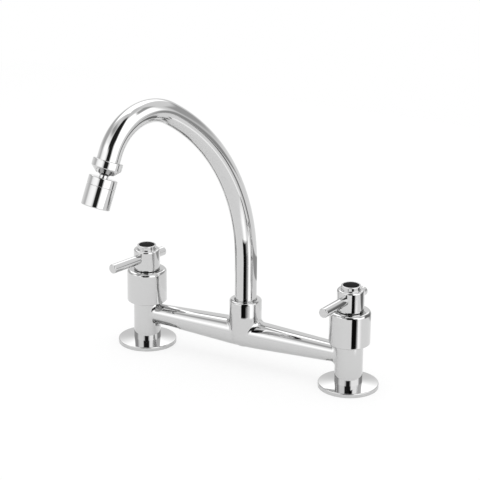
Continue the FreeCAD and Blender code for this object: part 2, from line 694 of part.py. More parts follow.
def ball_nut():
    thread_base = ADAPTOR_THICKNESS + BALL_WASHER_THICKNESS
    nut = down([
        (0, 0),
        (BALL_NUT_RADIUS, 0),
        (BALL_NUT_RADIUS, BALL_NUT_STRAIGHT),
        (BALL_NUT_MOUTH_RADIUS, BALL_NUT_LENGTH),
        (0, BALL_NUT_LENGTH),
    ])
    nut = rounded(nut, BALL_NUT_ROUND, BALL_NUT_RADIUS, 0)
    nut = rounded(nut, BALL_NUT_ROUND, BALL_NUT_RADIUS, -BALL_NUT_STRAIGHT)
    nut = nut.cut(down_rod(ADAPTOR_RADIUS + RUNNING_GAP, 0, thread_base))
    nut = nut.cut(down(seat_outline(RUNNING_GAP)))
    nut = nut.cut(ball(BALL_RADIUS + BALL_LIP_GAP))
    return nut.cut(down_rod(BALL_OPENING, BALL_DEPTH, BALL_NUT_LENGTH))


def ball_stem():
    flat_top = ADAPTOR_THICKNESS
    thread_base = CUP_TOP + CUP_ROOF
    stem = ball(BALL_RADIUS).cut(down_rod(BALL_RADIUS, BALL_DEPTH - BALL_RADIUS, flat_top))
    stem = stem.fuse(down_rod(STEM_NECK_RADIUS, BALL_DEPTH, thread_base))
    return stem.cut(down_rod(BALL_BORE, flat_top, thread_base))


def swivel_cup():
    cup = down([
        (STEM_NECK_RADIUS + RUNNING_GAP, CUP_TOP),
        (CUP_RADIUS, CUP_TOP),
        (CUP_RADIUS, CUP_BASE),
        (CUP_THREAD_RADIUS, CUP_BASE),
        (CUP_THREAD_RADIUS, CUP_THREAD_BASE),
        (CUP_THREAD_RADIUS - CUP_WALL, CUP_THREAD_BASE),
        (CUP_THREAD_RADIUS - CUP_WALL, CUP_TOP + CUP_ROOF),
        (STEM_NECK_RADIUS + RUNNING_GAP, CUP_TOP + CUP_ROOF),
    ])
    return rounded(cup, CUP_ROUND, CUP_RADIUS, -CUP_TOP)


def aerator_shroud():
    bore = CUP_THREAD_RADIUS + RUNNING_GAP
    shroud = down([
        (bore, SHROUD_TOP),
        (CUP_RADIUS, SHROUD_TOP),
        (CUP_RADIUS, SHROUD_BASE),
        (SHROUD_MOUTH_RADIUS, SHROUD_BASE),
        (SHROUD_MOUTH_RADIUS, SHROUD_BASE - SHROUD_LIP),
        (bore, SHROUD_BASE - SHROUD_LIP),
    ])
    return rounded(shroud, SHROUD_ROUND, CUP_RADIUS, -SHROUD_BASE)


def aerator_gasket():
    return down_ring(CUP_THREAD_RADIUS - SLIP_GAP, GASKET_RING_BORE, CUP_THREAD_BASE, INSERT_TOP)


def aerator_insert():
    flange = CUP_THREAD_RADIUS - SLIP_GAP
    bore = INSERT_RADIUS - INSERT_WALL
    insert = down_ring(INSERT_RADIUS, bore, INSERT_TOP, MESH_TOP)
    plate = down_rod(flange, INSERT_TOP, INSERT_TOP + INSERT_FLANGE)
    return insert.fuse(pierced(plate, bore - MESH_HOLE, 2 * MESH_HOLE, 2 * MESH_PITCH))


def pierced(plate, reach, hole, pitch):
    """A plate with square openings on a square pitch, inside a round field."""
    box = plate.BoundBox
    count = int(reach / pitch)
    steps = range(-count, count + 1)
    centres = [(pitch * column, pitch * row) for column in steps for row in steps]
    kept = [(x, y) for x, y in centres if math.hypot(x, y) <= reach - hole / 2]
    openings = [
        Part.makeBox(hole, hole, box.ZLength, Vec(x - hole / 2, y - hole / 2, box.ZMin)) for x, y in kept
    ]
    return plate.cut(Part.makeCompound(openings))


def mesh_screen():
    disc = down_rod(CUP_THREAD_RADIUS - SLIP_GAP, MESH_TOP, MESH_TOP + MESH_THICKNESS)
    return pierced(disc, SHROUD_MOUTH_RADIUS, MESH_HOLE, MESH_PITCH)


FIXED_PIECES = {
    "base_flange": base_flange,
    "deck_gasket": deck_gasket,
    "inlet_shank": inlet_shank,
    "clamp_washer": clamp_washer,
    "back_nut": back_nut,
    "bell_cover": bell_cover,
    "cartridge_housing": cartridge_housing,
    "housing_oring": housing_oring,
    "seat_seal": seat_seal,
    "fixed_disc": fixed_disc,
}

TURNING_PIECES = {
    "moving_disc": moving_disc,
    "spindle": spindle,
    "spindle_oring": spindle_oring,
    "spindle_clip": spindle_clip,
    "handle_hub": handle_hub,
    "handle_bar": handle_bar,
    "handle_screw": handle_screw,
    "index_cap": index_cap,
}

OUTLET_PIECES = {
    "outlet_adaptor": outlet_adaptor,
    "ball_washer": ball_washer,
    "ball_nut": ball_nut,
    "ball_seat": ball_seat,
    "ball_stem": ball_stem,
    "swivel_cup": swivel_cup,
    "aerator_shroud": aerator_shroud,
    "aerator_gasket": aerator_gasket,
    "aerator_insert": aerator_insert,
    "mesh_screen": mesh_screen,
}


def all_pieces():
    pieces = {"bridge_body": bridge_body(), "thrust_ring": thrust_ring()}
    pieces["spout_grub_screw"] = spout_grub_screw()
    for side, x in SIDES.items():
        for name, make in FIXED_PIECES.items():
            pieces[side + "_" + name] = standing(make(), x)
        for name, make in TURNING_PIECES.items():
            turned_piece = make().rotated(Vec(0, 0, 0), UP, -BAR_TURNS[side])
            pieces[side + "_" + name] = standing(turned_piece, x)
    pieces["spout_tube"] = spout_tube()
    pieces["spout_tail"] = swung(spout_tail())
    pieces["spout_orings"] = spout_orings()
    for name, make in OUTLET_PIECES.items():
        pieces[name] = at_outlet(make())
    return pieces


os.makedirs("parts", exist_ok=True)
for node, shape in all_pieces().items():
    print(node, "solids", len(shape.Solids), "valid", shape.isValid(), "volume", round(shape.Volume, 1))
    shape.exportStep("parts/" + node + ".step")
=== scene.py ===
# %% [markdown]
# # A chrome bridge mixer tap
# The tap is a cast bridge on two pillars, with a bell and a bar handle over each valve, a swan-neck spout
# and an aerator on a ball joint. The engineering model is loaded first and stays the fixed frame: it says
# where every piece is, which body it moves with and what it is made of. This lesson only dresses it.

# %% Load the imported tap
import json
import math

import bmesh
import bpy
import numpy as np
from mathutils import Matrix, Vector

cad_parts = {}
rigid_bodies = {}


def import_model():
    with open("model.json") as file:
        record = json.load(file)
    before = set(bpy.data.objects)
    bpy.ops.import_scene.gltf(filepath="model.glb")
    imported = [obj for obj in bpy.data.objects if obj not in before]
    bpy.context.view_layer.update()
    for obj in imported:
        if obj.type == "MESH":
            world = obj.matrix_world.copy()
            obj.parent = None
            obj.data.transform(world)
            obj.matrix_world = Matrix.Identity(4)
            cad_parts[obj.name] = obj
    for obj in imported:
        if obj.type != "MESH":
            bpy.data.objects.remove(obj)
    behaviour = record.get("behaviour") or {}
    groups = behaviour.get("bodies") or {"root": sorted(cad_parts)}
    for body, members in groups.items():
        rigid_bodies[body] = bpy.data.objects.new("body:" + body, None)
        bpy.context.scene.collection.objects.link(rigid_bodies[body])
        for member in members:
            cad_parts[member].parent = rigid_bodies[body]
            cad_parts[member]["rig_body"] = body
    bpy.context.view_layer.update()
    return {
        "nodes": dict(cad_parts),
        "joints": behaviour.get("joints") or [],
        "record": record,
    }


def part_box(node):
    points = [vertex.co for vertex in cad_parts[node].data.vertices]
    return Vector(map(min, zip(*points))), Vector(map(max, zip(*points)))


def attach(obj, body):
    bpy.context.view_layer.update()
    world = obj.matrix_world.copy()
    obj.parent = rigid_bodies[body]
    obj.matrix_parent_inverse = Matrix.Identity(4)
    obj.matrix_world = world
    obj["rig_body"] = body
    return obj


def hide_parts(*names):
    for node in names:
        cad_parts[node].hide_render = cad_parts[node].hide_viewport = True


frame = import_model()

MM = 0.001
joints = {joint["name"]: joint for joint in frame["joints"]}
node_slot = {row["node"]: row["material_slot"] for row in frame["record"]["subparts"]}
node_body = {name: node["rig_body"] for name, node in frame["nodes"].items()}


# %% [markdown]
# ## Colours and shader nodes
# A colour picked from a screen is an sRGB hex value, but shaders add light up in linear values, so one
# function converts every colour. A second one adds a shader node, sets it and links it in a single call.
# The rest are the steps that finishes share, so each one below is a few lines that read like a recipe.

# %% Colour and node helpers
def linear(hex_colour):
    """An sRGB hex colour as linear red, green, blue and an alpha of one."""
    channels = [int(hex_colour[place:place + 2], 16) / 255 for place in (1, 3, 5)]
    return [c / 12.92 if c <= 0.04045 else ((c + 0.055) / 1.055) ** 2.4 for c in channels] + [1.0]


def add_node(tree, kind, settings=None, links=None):
    """Adds a node. A setting is an input's value where the node has that input, else a property."""
    node = tree.nodes.new(kind)
    for name, value in (settings or {}).items():
        if isinstance(name, str) and name not in node.inputs:
            setattr(node, name, value)
        else:
            node.inputs[name].default_value = value
    for name, source in (links or {}).items():
        tree.links.new(source, node.inputs[name])
    return node


def maths(tree, operation, *terms):
    """Result of a maths node. Each term is a number or the output of another node."""
    numbers = {place: term for place, term in enumerate(terms) if isinstance(term, (int, float))}
    links = {place: term for place, term in enumerate(terms) if place not in numbers}
    return add_node(tree, "ShaderNodeMath", {"operation": operation, **numbers}, links).outputs[0]


def new_finish(name, settings):
    """A material whose constant values sit on the shader's own sockets."""
    material = bpy.data.materials.new(name)
    material.use_nodes = True
    surface = material.node_tree.nodes["Principled BSDF"]
    for socket, value in settings.items():
        surface.inputs[socket].default_value = value
    return material, material.node_tree, surface


def bare_material(name):
    """A material whose node tree is still empty."""
    material = bpy.data.materials.new(name)
    material.use_nodes = True
    material.node_tree.nodes.clear()
    return material, material.node_tree


def pattern(tree, kind, settings):
    """A texture that is laid out in the piece's own space."""
    place = add_node(tree, "ShaderNodeTexCoord")
    return add_node(tree, kind, settings, {"Vector": place.outputs["Object"]})


def vary_roughness(tree, surface, source, low, high):
    """Lets a pattern move the roughness between two values."""
    polish = add_node(tree, "ShaderNodeMapRange", {"To Min": low, "To Max": high}, {"Value": source})
    tree.links.new(polish.outputs["Result"], surface.inputs["Roughness"])


def emboss(tree, surface, source, strength, depth_mm):
    """Lets a pattern raise and sink the surface."""
    bump = add_node(tree, "ShaderNodeBump", {"Strength": strength, "Distance": depth_mm * MM},
                    {"Height": source})
    tree.links.new(bump.outputs["Normal"], surface.inputs["Normal"])


finishes = {}
print("mid grey #808080 is", [round(value, 3) for value in linear("#808080")[:3]], "in linear light")

# %% [markdown]
# ## Polished chrome plate
# Bright chrome is a thin layer of chromium over polished nickel and brass. The eye reads it by what it
# mirrors: a neutral grey that is darker than silver, with long stripes. So the base colour is a light
# grey, the metal keeps its default IOR, and roughness is close to a mirror. Buffing leaves a very faint
# haze in soft patches, which a noise of a few millimetres gives to the roughness.

# %% Chrome finish
CHROME_GREY = "#CACACA"
BUFFING_PATCH_MM = 9.0


def polished_chrome_plate():
    material, tree, surface = new_finish("polished_chrome_plate", {
        "Base Color": linear(CHROME_GREY), "Metallic": 1.0})
    haze = pattern(tree, "ShaderNodeTexNoise", {"Scale": 1 / (BUFFING_PATCH_MM * MM), "Detail": 3.0})
    vary_roughness(tree, surface, haze.outputs["Fac"], low=0.018, high=0.05)
    return material


finishes["chrome_plate"] = polished_chrome_plate()
print("chrome reflects", [round(value, 2) for value in linear(CHROME_GREY)[:3]])

# %% [markdown]
# ## Turned brass and zinc plated steel
# The shanks, cartridges and nuts are free-cutting brass straight off a lathe: a warm yellow with fine rings
# where the tool passed. Real feed marks are about 0.1 mm apart, so they are drawn coarser to show. The
# washers and screws are steel with bright zinc, which dries in small crystals that differ a little in gloss.

# %% Brass and zinc finishes
FEED_MARK_MM = 0.45  # real marks are about 0.1 mm apart, too fine to show
ZINC_CRYSTAL_MM = 1.5
WAVE_PERIOD = 0.314  # of a wave texture whose scale is 1


def turned_brass():
    material, tree, surface = new_finish("turned_free_cutting_brass", {
        "Base Color": linear("#C8A258"), "Metallic": 1.0, "Roughness": 0.24})
    rings = pattern(tree, "ShaderNodeTexWave", {
        "wave_type": "BANDS", "bands_direction": "Z", "Scale": WAVE_PERIOD / (FEED_MARK_MM * MM),
        "Distortion": 0.4})
    emboss(tree, surface, rings.outputs["Fac"], strength=0.15, depth_mm=0.03)
    return material


def zinc_plated_steel():
    material, tree, surface = new_finish("zinc_plated_steel", {
        "Base Color": linear("#B4B8BC"), "Metallic": 1.0})
    crystals = pattern(tree, "ShaderNodeTexVoronoi", {"Scale": 1 / (ZINC_CRYSTAL_MM * MM)})
    vary_roughness(tree, surface, crystals.outputs["Distance"], low=0.26, high=0.4)
    return material


finishes["bare_brass"] = turned_brass()
finishes["zinc_steel"] = zinc_plated_steel()
print("feed marks every", FEED_MARK_MM, "mm, zinc crystals", ZINC_CRYSTAL_MM, "mm")

# %% [markdown]
# ## Woven wire, rubber, ceramic and nylon
# These are mostly inside. Stainless wire is drawn, so it is a greyer, softer metal than chrome. Seals are
# moulded rubber: nearly black and matt with a fine grain. The valve discs are lapped alumina, an off-white
# with a dull shine. The race and the flow insert are moulded nylon, a little translucent and waxy.

# %% Inner finishes
def grained_finish(name, settings, grain_mm, depth_mm):
    """A finish with a fine grain in its surface, as wide as the grain of the real stuff."""
    material, tree, surface = new_finish(name, settings)
    grain = pattern(tree, "ShaderNodeTexNoise", {"Scale": 1 / (grain_mm * MM), "Detail": 2.0})
    emboss(tree, surface, grain.outputs["Fac"], strength=0.4, depth_mm=depth_mm)
    return material


finishes["steel_mesh"] = grained_finish("drawn_stainless_wire", {
    "Base Color": linear("#A9ACAF"), "Metallic": 1.0, "Roughness": 0.28}, grain_mm=0.6, depth_mm=0.01)
finishes["black_rubber"] = grained_finish("moulded_nitrile_rubber", {
    "Base Color": linear("#1A1A1B"), "Roughness": 0.62}, grain_mm=0.5, depth_mm=0.03)
finishes["white_ceramic"] = grained_finish("lapped_alumina", {
    "Base Color": linear("#EAE7DE"), "Roughness": 0.2}, grain_mm=0.4, depth_mm=0.004)
finishes["white_nylon"] = grained_finish("moulded_nylon", {
    "Base Color": linear("#E3E1D8"), "Roughness": 0.42, "Subsurface Weight": 0.1,
    "Subsurface Radius": (1.5 * MM, 1.2 * MM, 1.0 * MM)}, grain_mm=2.0, depth_mm=0.01)
print("finishes so far", sorted(finishes))

# %% [markdown]
# ## Moulded cap
# The round insert on each handle is a small moulding in black ABS. Its face is bare here. The mould was
# finely etched, which gives the eye a deep black with hardly a shine, so the base is almost black, the
# roughness is a satin one and the specular level is low. Moulded faces are never quite flat: a slow ripple
# in the bump shows that at a low angle.

# %% Dark cap finish
RIPPLE_MM = 5.0


def etched_black_cap():
    material, tree, surface = new_finish("moulded_etched_abs", {
        "Base Color": linear("#0E0E0E"), "Roughness": 0.3, "Specular IOR Level": 0.012})
    ripple = pattern(tree, "ShaderNodeTexNoise", {"Scale": 1 / (RIPPLE_MM * MM), "Detail": 1.0})
    emboss(tree, surface, ripple.outputs["Fac"], strength=0.2, depth_mm=0.05)
    return material


finishes["dark_cap"] = etched_black_cap()
print("finishes", len(finishes), "for the record's slots", sorted(set(node_slot.values())))

# %% [markdown]
# ## Pieces with exact normals
# A mirror shows every facet, and the frame's meshes are coarse. So each visible piece is made again, finer,
# on the frame's own sizes. Smooth shading alone would bend the reflections near every edge, because it
# averages the faces. Here each vertex gets the true direction of the surface as its custom normal instead,
# and a mirror looks right with few faces.

# %% Piece helpers
SEGMENTS = 144


def make_mesh(name, vertices, faces, normals=None):
    """A smooth mesh object from points in millimetres. Rows of zero normals are left to Blender."""
    mesh = bpy.data.meshes.new(name)
    mesh.from_pydata((np.asarray(vertices) * MM).tolist(), [], faces)
    mesh.polygons.foreach_set("use_smooth", np.ones(len(mesh.polygons), bool))
    mesh.update()
    if normals is not None:
        mesh.normals_split_custom_set_from_vertices(np.asarray(normals).tolist())
    piece = bpy.data.objects.new(name, mesh)
    bpy.context.scene.collection.objects.link(piece)
    return piece


def dress(piece, node):
    """Lets a piece stand for a node of the frame: same body, same slot and that slot's finish."""
    piece.data.materials.clear()
    piece.data.materials.append(finishes[node_slot[node]])
    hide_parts(node)
    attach(piece, node_body[node])
    return piece


def grid_faces(rows, columns, closed):
    """Quads of a grid that is closed around its columns, and around its rows as well if asked."""
    faces = []
    for row in range(rows if closed else rows - 1):
        following = (row + 1) % rows
        for column in range(columns):
            beside = (column + 1) % columns
            faces.append((row * columns + column, row * columns + beside,
                          following * columns + beside, following * columns + column))
    return faces


print("round pieces get", SEGMENTS, "segments")

# %% [markdown]
# ## Turning on a lathe
# Most of a tap is round. A lathe piece is an outline of radius and height, walked with the material on its
# left, and each corner carries the radius of its edge: machined and plated edges are never sharp, and the
# small round is what catches a thin line of light. A corner becomes an arc, and the outline is spun.

# %% Lathe helper
ARC_STEP = math.radians(7.5)
ARC_STEPS_MIN = 3


def softened(corners, closed):
    """Outline points and their outward directions, with each (radius, height, round) corner as an arc."""
    points = []
    directions = []
    count = len(corners)
    for number, (radius, height, size) in enumerate(corners):
        here = np.array([radius, height], float)
        before = np.array(corners[number - 1][:2], float)
        after = np.array(corners[(number + 1) % count][:2], float)
        into = (here - before) / np.linalg.norm(here - before)
        out_of = (after - here) / np.linalg.norm(after - here)
        first = np.array([into[1], -into[0]])
        last = np.array([out_of[1], -out_of[0]])
        if not closed and number in (0, count - 1):
            points.append(here)
            directions.append(last if number == 0 else first)
            continue
        turn = math.atan2(into[0] * out_of[1] - into[1] * out_of[0], float(into @ out_of))
        start = here - into * size * math.tan(abs(turn) / 2)
        side = 1 if turn > 0 else -1
        centre = start - side * size * first
        steps = max(ARC_STEPS_MIN, math.ceil(abs(turn) / ARC_STEP))
        for step in range(steps + 1):
            angle = turn * step / steps
            cosine = math.cos(angle)
            sine = math.sin(angle)
            direction = np.array([first[0] * cosine - first[1] * sine, first[0] * sine + first[1] * cosine])
            points.append(centre + side * size * direction)
            directions.append(direction)
    return np.array(points), np.array(directions)


def carried(points, place):
    """Points in millimetres, taken from the origin to a place."""
    return np.asarray(points) @ np.array(place.to_3x3()).T + np.array(place.translation) / MM


def turned(name, corners, place, closed):
    """A lathe piece. An open outline starts and ends on the axis, and a closed one is a ring."""
    points, directions = softened(corners, closed)
    angles = np.linspace(0, 2 * math.pi, SEGMENTS, endpoint=False)
    around = np.stack([np.cos(angles), np.sin(angles)], axis=1)
    poles = not closed
    rows = points[1:-1] if poles else points
    leans = directions[1:-1] if poles else directions
    vertices = [(r * c, r * s, z) for r, z in rows for c, s in around]
    normals = [(r * c, r * s, z) for r, z in leans for c, s in around]
    faces = grid_faces(len(rows), SEGMENTS, closed)
    if poles:
        low = len(vertices)
        vertices += [(0, 0, points[0][1]), (0, 0, points[-1][1])]
        normals += [(0, 0, -1), (0, 0, 1)]
        top_row = (len(rows) - 1) * SEGMENTS
        for column in range(SEGMENTS):
            beside = (column + 1) % SEGMENTS
            faces.append((low, beside, column))
            faces.append((low + 1, top_row + column, top_row + beside))
    directions = np.array(normals) @ np.array(place.to_3x3()).T
    return make_mesh(name, carried(vertices, place), faces, directions)


def lathe_piece(node, corners, place, closed=True):
    """A lathe piece that stands for a node of the frame."""
    return dress(turned(node + "_dressed", corners, place, closed), node)


def upright_size(node):
    """Radius, lowest and highest level of an upright round node, in millimetres."""
    low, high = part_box(node)
    return (high.x - low.x) / 2 / MM, low.z / MM, high.z / MM


PILLARS = {side: Vector((joints[side + "_handle_turn"]["pos_m"][0], 0, 0)) for side in ("left", "right")}
print("pillars at", {side: round(place.x / MM, 1) for side, place in PILLARS.items()}, "mm")

# %% [markdown]
# ## Flanges and bells
# A flange is a thin pressed disc, polished, with a gentle slope and a soft rim. The bell above it is a turned
# cover, straight sided, with a generous round at its shoulder that gathers the light into one bright ring.
# Both are lathe outlines. The bell is hollow, because that is how it fits over the valve's head.

# %% Flanges and bells
FLANGE_ROUND = 0.8
FLANGE_RIM = 3.6
SHANK_RADIUS = 10.48
PILLAR_RADIUS = 12.0
GASKET_INSET = 4.0
GASKET_THICKNESS = 1.5
BELL_SHOULDER = 2.6
BELL_FOOT = 0.8
BELL_SKIRT = 1.65
BELL_BORE = 14.2
BELL_CROWN = 2.2
BELL_MOUTH = 7.7
BELL_STEP = 5.8
EDGE = 0.12

for side, pillar in PILLARS.items():
    place = Matrix.Translation(pillar)
    radius, low, high = upright_size(side + "_base_flange")
    lathe_piece(side + "_base_flange", [
        (SHANK_RADIUS, GASKET_THICKNESS, EDGE), (radius - GASKET_INSET, GASKET_THICKNESS, EDGE),
        (radius - GASKET_INSET, low, EDGE), (radius, low, EDGE), (radius, FLANGE_RIM, FLANGE_ROUND),
        (PILLAR_RADIUS, high, EDGE), (SHANK_RADIUS, high, EDGE)], place)
    radius, low, high = upright_size(side + "_bell_cover")
    skirt = radius - BELL_SKIRT
    lathe_piece(side + "_bell_cover", [
        (skirt, low, EDGE), (radius, low, BELL_FOOT), (radius, high, BELL_SHOULDER), (BELL_MOUTH, high, EDGE),
        (BELL_MOUTH, high - BELL_CROWN, EDGE), (BELL_BORE, high - BELL_CROWN, EDGE),
        (BELL_BORE, low + BELL_STEP, EDGE), (skirt, low + BELL_STEP, EDGE)], place)
    print(side, "bell", round(2 * radius, 1), "mm across,", round(high - low, 1), "mm high")

# %% [markdown]
# ## Handles
# Each handle is a turned hub with a raised collar round the cap, and a plain polished bar pushed through it,
# long in front and short behind. The hub is a lathe ring whose recess holds the cap, and the cap has a
# slightly domed face. The two bars rest at slightly different angles, as hands leave them.

# %% Hubs, caps and bars
HUB_SHOULDER = 1.6
HUB_FOOT = 0.5
COLLAR_RADIUS = 8.4
COLLAR_HEIGHT = 3.7
COLLAR_ROUND = 0.6
COLLAR_FOOT = 0.3
CAP_CLEARANCE = 0.06
CAP_DOME = 0.35
CAP_RINGS = (0.75, 0.5, 0.25)
SCREW_HOLE = 2.05
BAR_RADIUS = 4.15
BAR_FRONT = 43.4
BAR_REAR = 21.0
BAR_END_ROUND = 0.9
BAR_TURN = {"left": 12.7, "right": 6.4}


def cap_outline(radius, seat, rim):
    """A disc with a dome that falls away to its rim in a few rings."""
    rings = [(radius * share, rim + CAP_DOME * (1 - share * share), EDGE) for share in CAP_RINGS]
    return [(0, seat, 0), (radius, seat, EDGE), (radius, rim, EDGE)] + rings + [(0, rim + CAP_DOME, 0)]


for side, pillar in PILLARS.items():
    place = Matrix.Translation(pillar)
    radius, low, high = upright_size(side + "_handle_hub")
    cap_radius, seat, dome = upright_size(side + "_index_cap")
    recess = cap_radius + CAP_CLEARANCE
    lathe_piece(side + "_handle_hub", [
        (SCREW_HOLE, low, EDGE), (radius, low, HUB_FOOT), (radius, high - COLLAR_HEIGHT, HUB_SHOULDER),
        (COLLAR_RADIUS, high - COLLAR_HEIGHT, COLLAR_FOOT), (COLLAR_RADIUS, high, COLLAR_ROUND),
        (recess, high, EDGE), (recess, seat, EDGE), (SCREW_HOLE, seat, EDGE)], place)
    lathe_piece(side + "_index_cap", cap_outline(cap_radius, seat, dome - CAP_DOME), place, closed=False)
    turn = Matrix.Rotation(math.radians(-BAR_TURN[side]), 4, "Z")
    bar_low, bar_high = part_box(side + "_handle_bar")
    bar_level = (bar_low.z + bar_high.z) / 2
    axis = Matrix.Translation((pillar.x, 0, bar_level))
    lying = axis @ turn @ Matrix.Rotation(math.pi / 2, 4, "X")
    lathe_piece(side + "_handle_bar", [
        (0, -BAR_REAR, 0), (BAR_RADIUS, -BAR_REAR, BAR_END_ROUND), (BAR_RADIUS, BAR_FRONT, BAR_END_ROUND),
        (0, BAR_FRONT, 0)], lying, closed=False)
    print(side, "bar at", round(bar_level / MM, 1), "mm, turned", BAR_TURN[side], "degrees")

# %% [markdown]
# ## The cast bridge
# The bridge is one casting: two pillars, a barrel that tapers towards them, and the boss for the spout, with
# soft fillets where they run together. Fillets like these are hard to model by hand, because the shapes
# cross at every angle. A distance field describes them exactly: each simple shape says how far a point is
# from it and in which direction, and a ball rolled along the crease gives the fillet. The frame's own
# casting, remeshed into small even faces, is then drawn onto that field.

# %% Field of the casting
BRIDGE_LEVEL = 28.6
BRIDGE_END_RADIUS = 8.2
BRIDGE_MID_RADIUS = 12.5
CROWN_HALF = 17.0
PILLAR_FILLET = 4.0
BOSS_RADIUS = 14.1
BOSS_TOP = 60.3
BOSS_UNDER_BRIDGE = 0.2
BOSS_FOOT = BRIDGE_LEVEL - BRIDGE_MID_RADIUS - BOSS_UNDER_BRIDGE + BOSS_RADIUS
BOSS_FILLET = 4.0
BOSS_ROUND = 2.0
TUBE_RADIUS = 9.5
SOCKET_GAP = 0.1
SOCKET_RADIUS = TUBE_RADIUS + SOCKET_GAP
MOUTH_ROUND = 0.9
MOUTH_DEPTH = 3 * MOUTH_ROUND
FAR_BELOW = -1000.0
TINY = 1e-6  # keeps a division by nought away
HALF_SPAN = PILLARS["right"].x / MM
TAPER = (BRIDGE_MID_RADIUS - BRIDGE_END_RADIUS) / (HALF_SPAN - CROWN_HALF / 2)


def unit(vectors):
    return vectors / np.maximum(np.linalg.norm(vectors, axis=1, keepdims=True), TINY)


def barrel(points):
    """Distance to the barrel between the pillars, and the direction away from it."""
    x = np.clip(points[:, 0], -HALF_SPAN, HALF_SPAN)
    offsets = points - np.stack([x, 0 * x, 0 * x + BRIDGE_LEVEL], axis=1)
    across = np.maximum(np.linalg.norm(offsets, axis=1), TINY)
    bend = np.clip(x / CROWN_HALF, -1, 1)
    reach = np.maximum(np.abs(x) - CROWN_HALF, 0)
    crown = np.minimum(np.abs(x), CROWN_HALF)
    radius = BRIDGE_MID_RADIUS - TAPER * (crown ** 2 / (2 * CROWN_HALF) + reach)
    away = unit(offsets / across[:, None] + np.stack([TAPER * bend, 0 * x, 0 * x], axis=1))
    return (across - radius) / math.hypot(1, TAPER), away


def upright(points, x, radius, foot=FAR_BELOW):
    """Distance to an upright rod with a round lower end at a foot, and the direction away from it."""
    offsets = points - np.array([x, 0, foot])
    offsets[:, 2] = np.minimum(offsets[:, 2], 0)
    return np.linalg.norm(offsets, axis=1) - radius, unit(offsets)


def rolled(first, second, size):
    """Two shapes joined by the fillet that a ball of this size leaves in the crease between them."""
    (near, away), (near_too, away_too) = first, second
    cosine = np.sum(away * away_too, axis=1)
    sine = np.maximum(1 - cosine ** 2, TINY)
    sunk = size - near
    sunk_too = size - near_too
    between = (sunk > sunk_too * cosine) & (sunk_too > sunk * cosine)
    ball = np.sqrt(np.maximum(sunk ** 2 + sunk_too ** 2 - 2 * sunk * sunk_too * cosine, 0) / sine)
    return np.where(between, size - ball, np.minimum(near, near_too))


def trimmed(near, cut, size):
    """A shape cut off by another, with a round of this size on the edge."""
    over = np.maximum(near + size, 0)
    over_too = np.maximum(cut + size, 0)
    inside = np.minimum(np.maximum(near, cut) + size, 0)
    return inside + np.hypot(over, over_too) - size


def casting(points):
    """Distance to the outside of the whole casting."""
    bridge = barrel(points)
    boss = rolled(bridge, upright(points, 0, BOSS_RADIUS, BOSS_FOOT), BOSS_FILLET)
    boss = trimmed(boss, points[:, 2] - BOSS_TOP, BOSS_ROUND)
    socket = SOCKET_RADIUS - np.hypot(points[:, 0], points[:, 1])
    mouth = points[:, 2] > BOSS_TOP - MOUTH_DEPTH
    near = np.where(mouth, trimmed(boss, socket, MOUTH_ROUND), boss)
    for pillar in PILLARS.values():
        joined = rolled(bridge, upright(points, pillar.x / MM, PILLAR_RADIUS), PILLAR_FILLET)
        near = np.minimum(near, joined)
    return near


probe = np.array([[0, 0, BOSS_TOP + 1.0], [50.0, 0, BRIDGE_LEVEL + 20], [HALF_SPAN, -PILLAR_RADIUS - 2, 20]])
print("distances of three test points, in mm", casting(probe).round(2))

# %% Casting drawn onto its field
VOXEL_MM = 0.62
OUTSIDE_MM = 0.9  # points farther from the field line the waterways
SINK_MM = 1.4  # how far the foot goes down into its flange
WELD_MM = 0.001
SLOPE_STEP_MM = 0.01
DRAWS = 5
FOOT_MARGIN_MM = 1.0
BELL_REACH_MM = 1.6 * PILLAR_RADIUS
BELL_OVERLAP_MM = 0.3
FLANGE_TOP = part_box("left_base_flange")[1].z / MM
BELL_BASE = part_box("left_bell_cover")[0].z / MM


def slope_of(points):
    """Direction in which the distance to the casting grows."""
    shifts = SLOPE_STEP_MM * np.eye(3)
    return unit(np.stack([casting(points + s) - casting(points - s) for s in shifts], axis=1))


def remeshed_casting():
    """The frame's casting as a closed mesh of small even faces, in millimetres."""
    mesh = frame["nodes"]["bridge_body"].data.copy()
    work = bmesh.new()
    work.from_mesh(mesh)
    bmesh.ops.remove_doubles(work, verts=work.verts, dist=WELD_MM * MM)
    work.to_mesh(mesh)
    work.free()
    rough = bpy.data.objects.new("rough_casting", mesh)
    bpy.context.scene.collection.objects.link(rough)
    remesh = rough.modifiers.new("even_faces", "REMESH")
    remesh.mode = "VOXEL"
    remesh.voxel_size = VOXEL_MM * MM
    shown = rough.evaluated_get(bpy.context.evaluated_depsgraph_get())
    even = bpy.data.meshes.new_from_object(shown)
    points = np.zeros(3 * len(even.vertices))
    even.vertices.foreach_get("co", points)
    faces = [tuple(face.vertices) for face in even.polygons]
    bpy.data.objects.remove(rough)
    bpy.data.meshes.remove(even)
    bpy.data.meshes.remove(mesh)
    return points.reshape(-1, 3) / MM, faces


points, faces = remeshed_casting()
aside = np.abs(points[:, 0])
level = points[:, 2]
on_flange = (aside > HALF_SPAN - PILLAR_RADIUS - FOOT_MARGIN_MM) & (level < FLANGE_TOP + VOXEL_MM)
in_bell = (np.abs(aside - HALF_SPAN) < BELL_REACH_MM) & (level > BELL_BASE + BELL_OVERLAP_MM)
outer = (np.abs(casting(points)) < OUTSIDE_MM) & ~in_bell
for _ in range(DRAWS):
    moved = points[outer]
    points[outer] = moved - casting(moved)[:, None] * slope_of(moved)
points[on_flange, 2] -= SINK_MM
normals = np.zeros_like(points)
normals[outer] = slope_of(points[outer])
dress(make_mesh("bridge_body_dressed", points, faces, normals), "bridge_body")
print("casting", len(points), "points, of which", int(outer.sum()), "lie on the field")

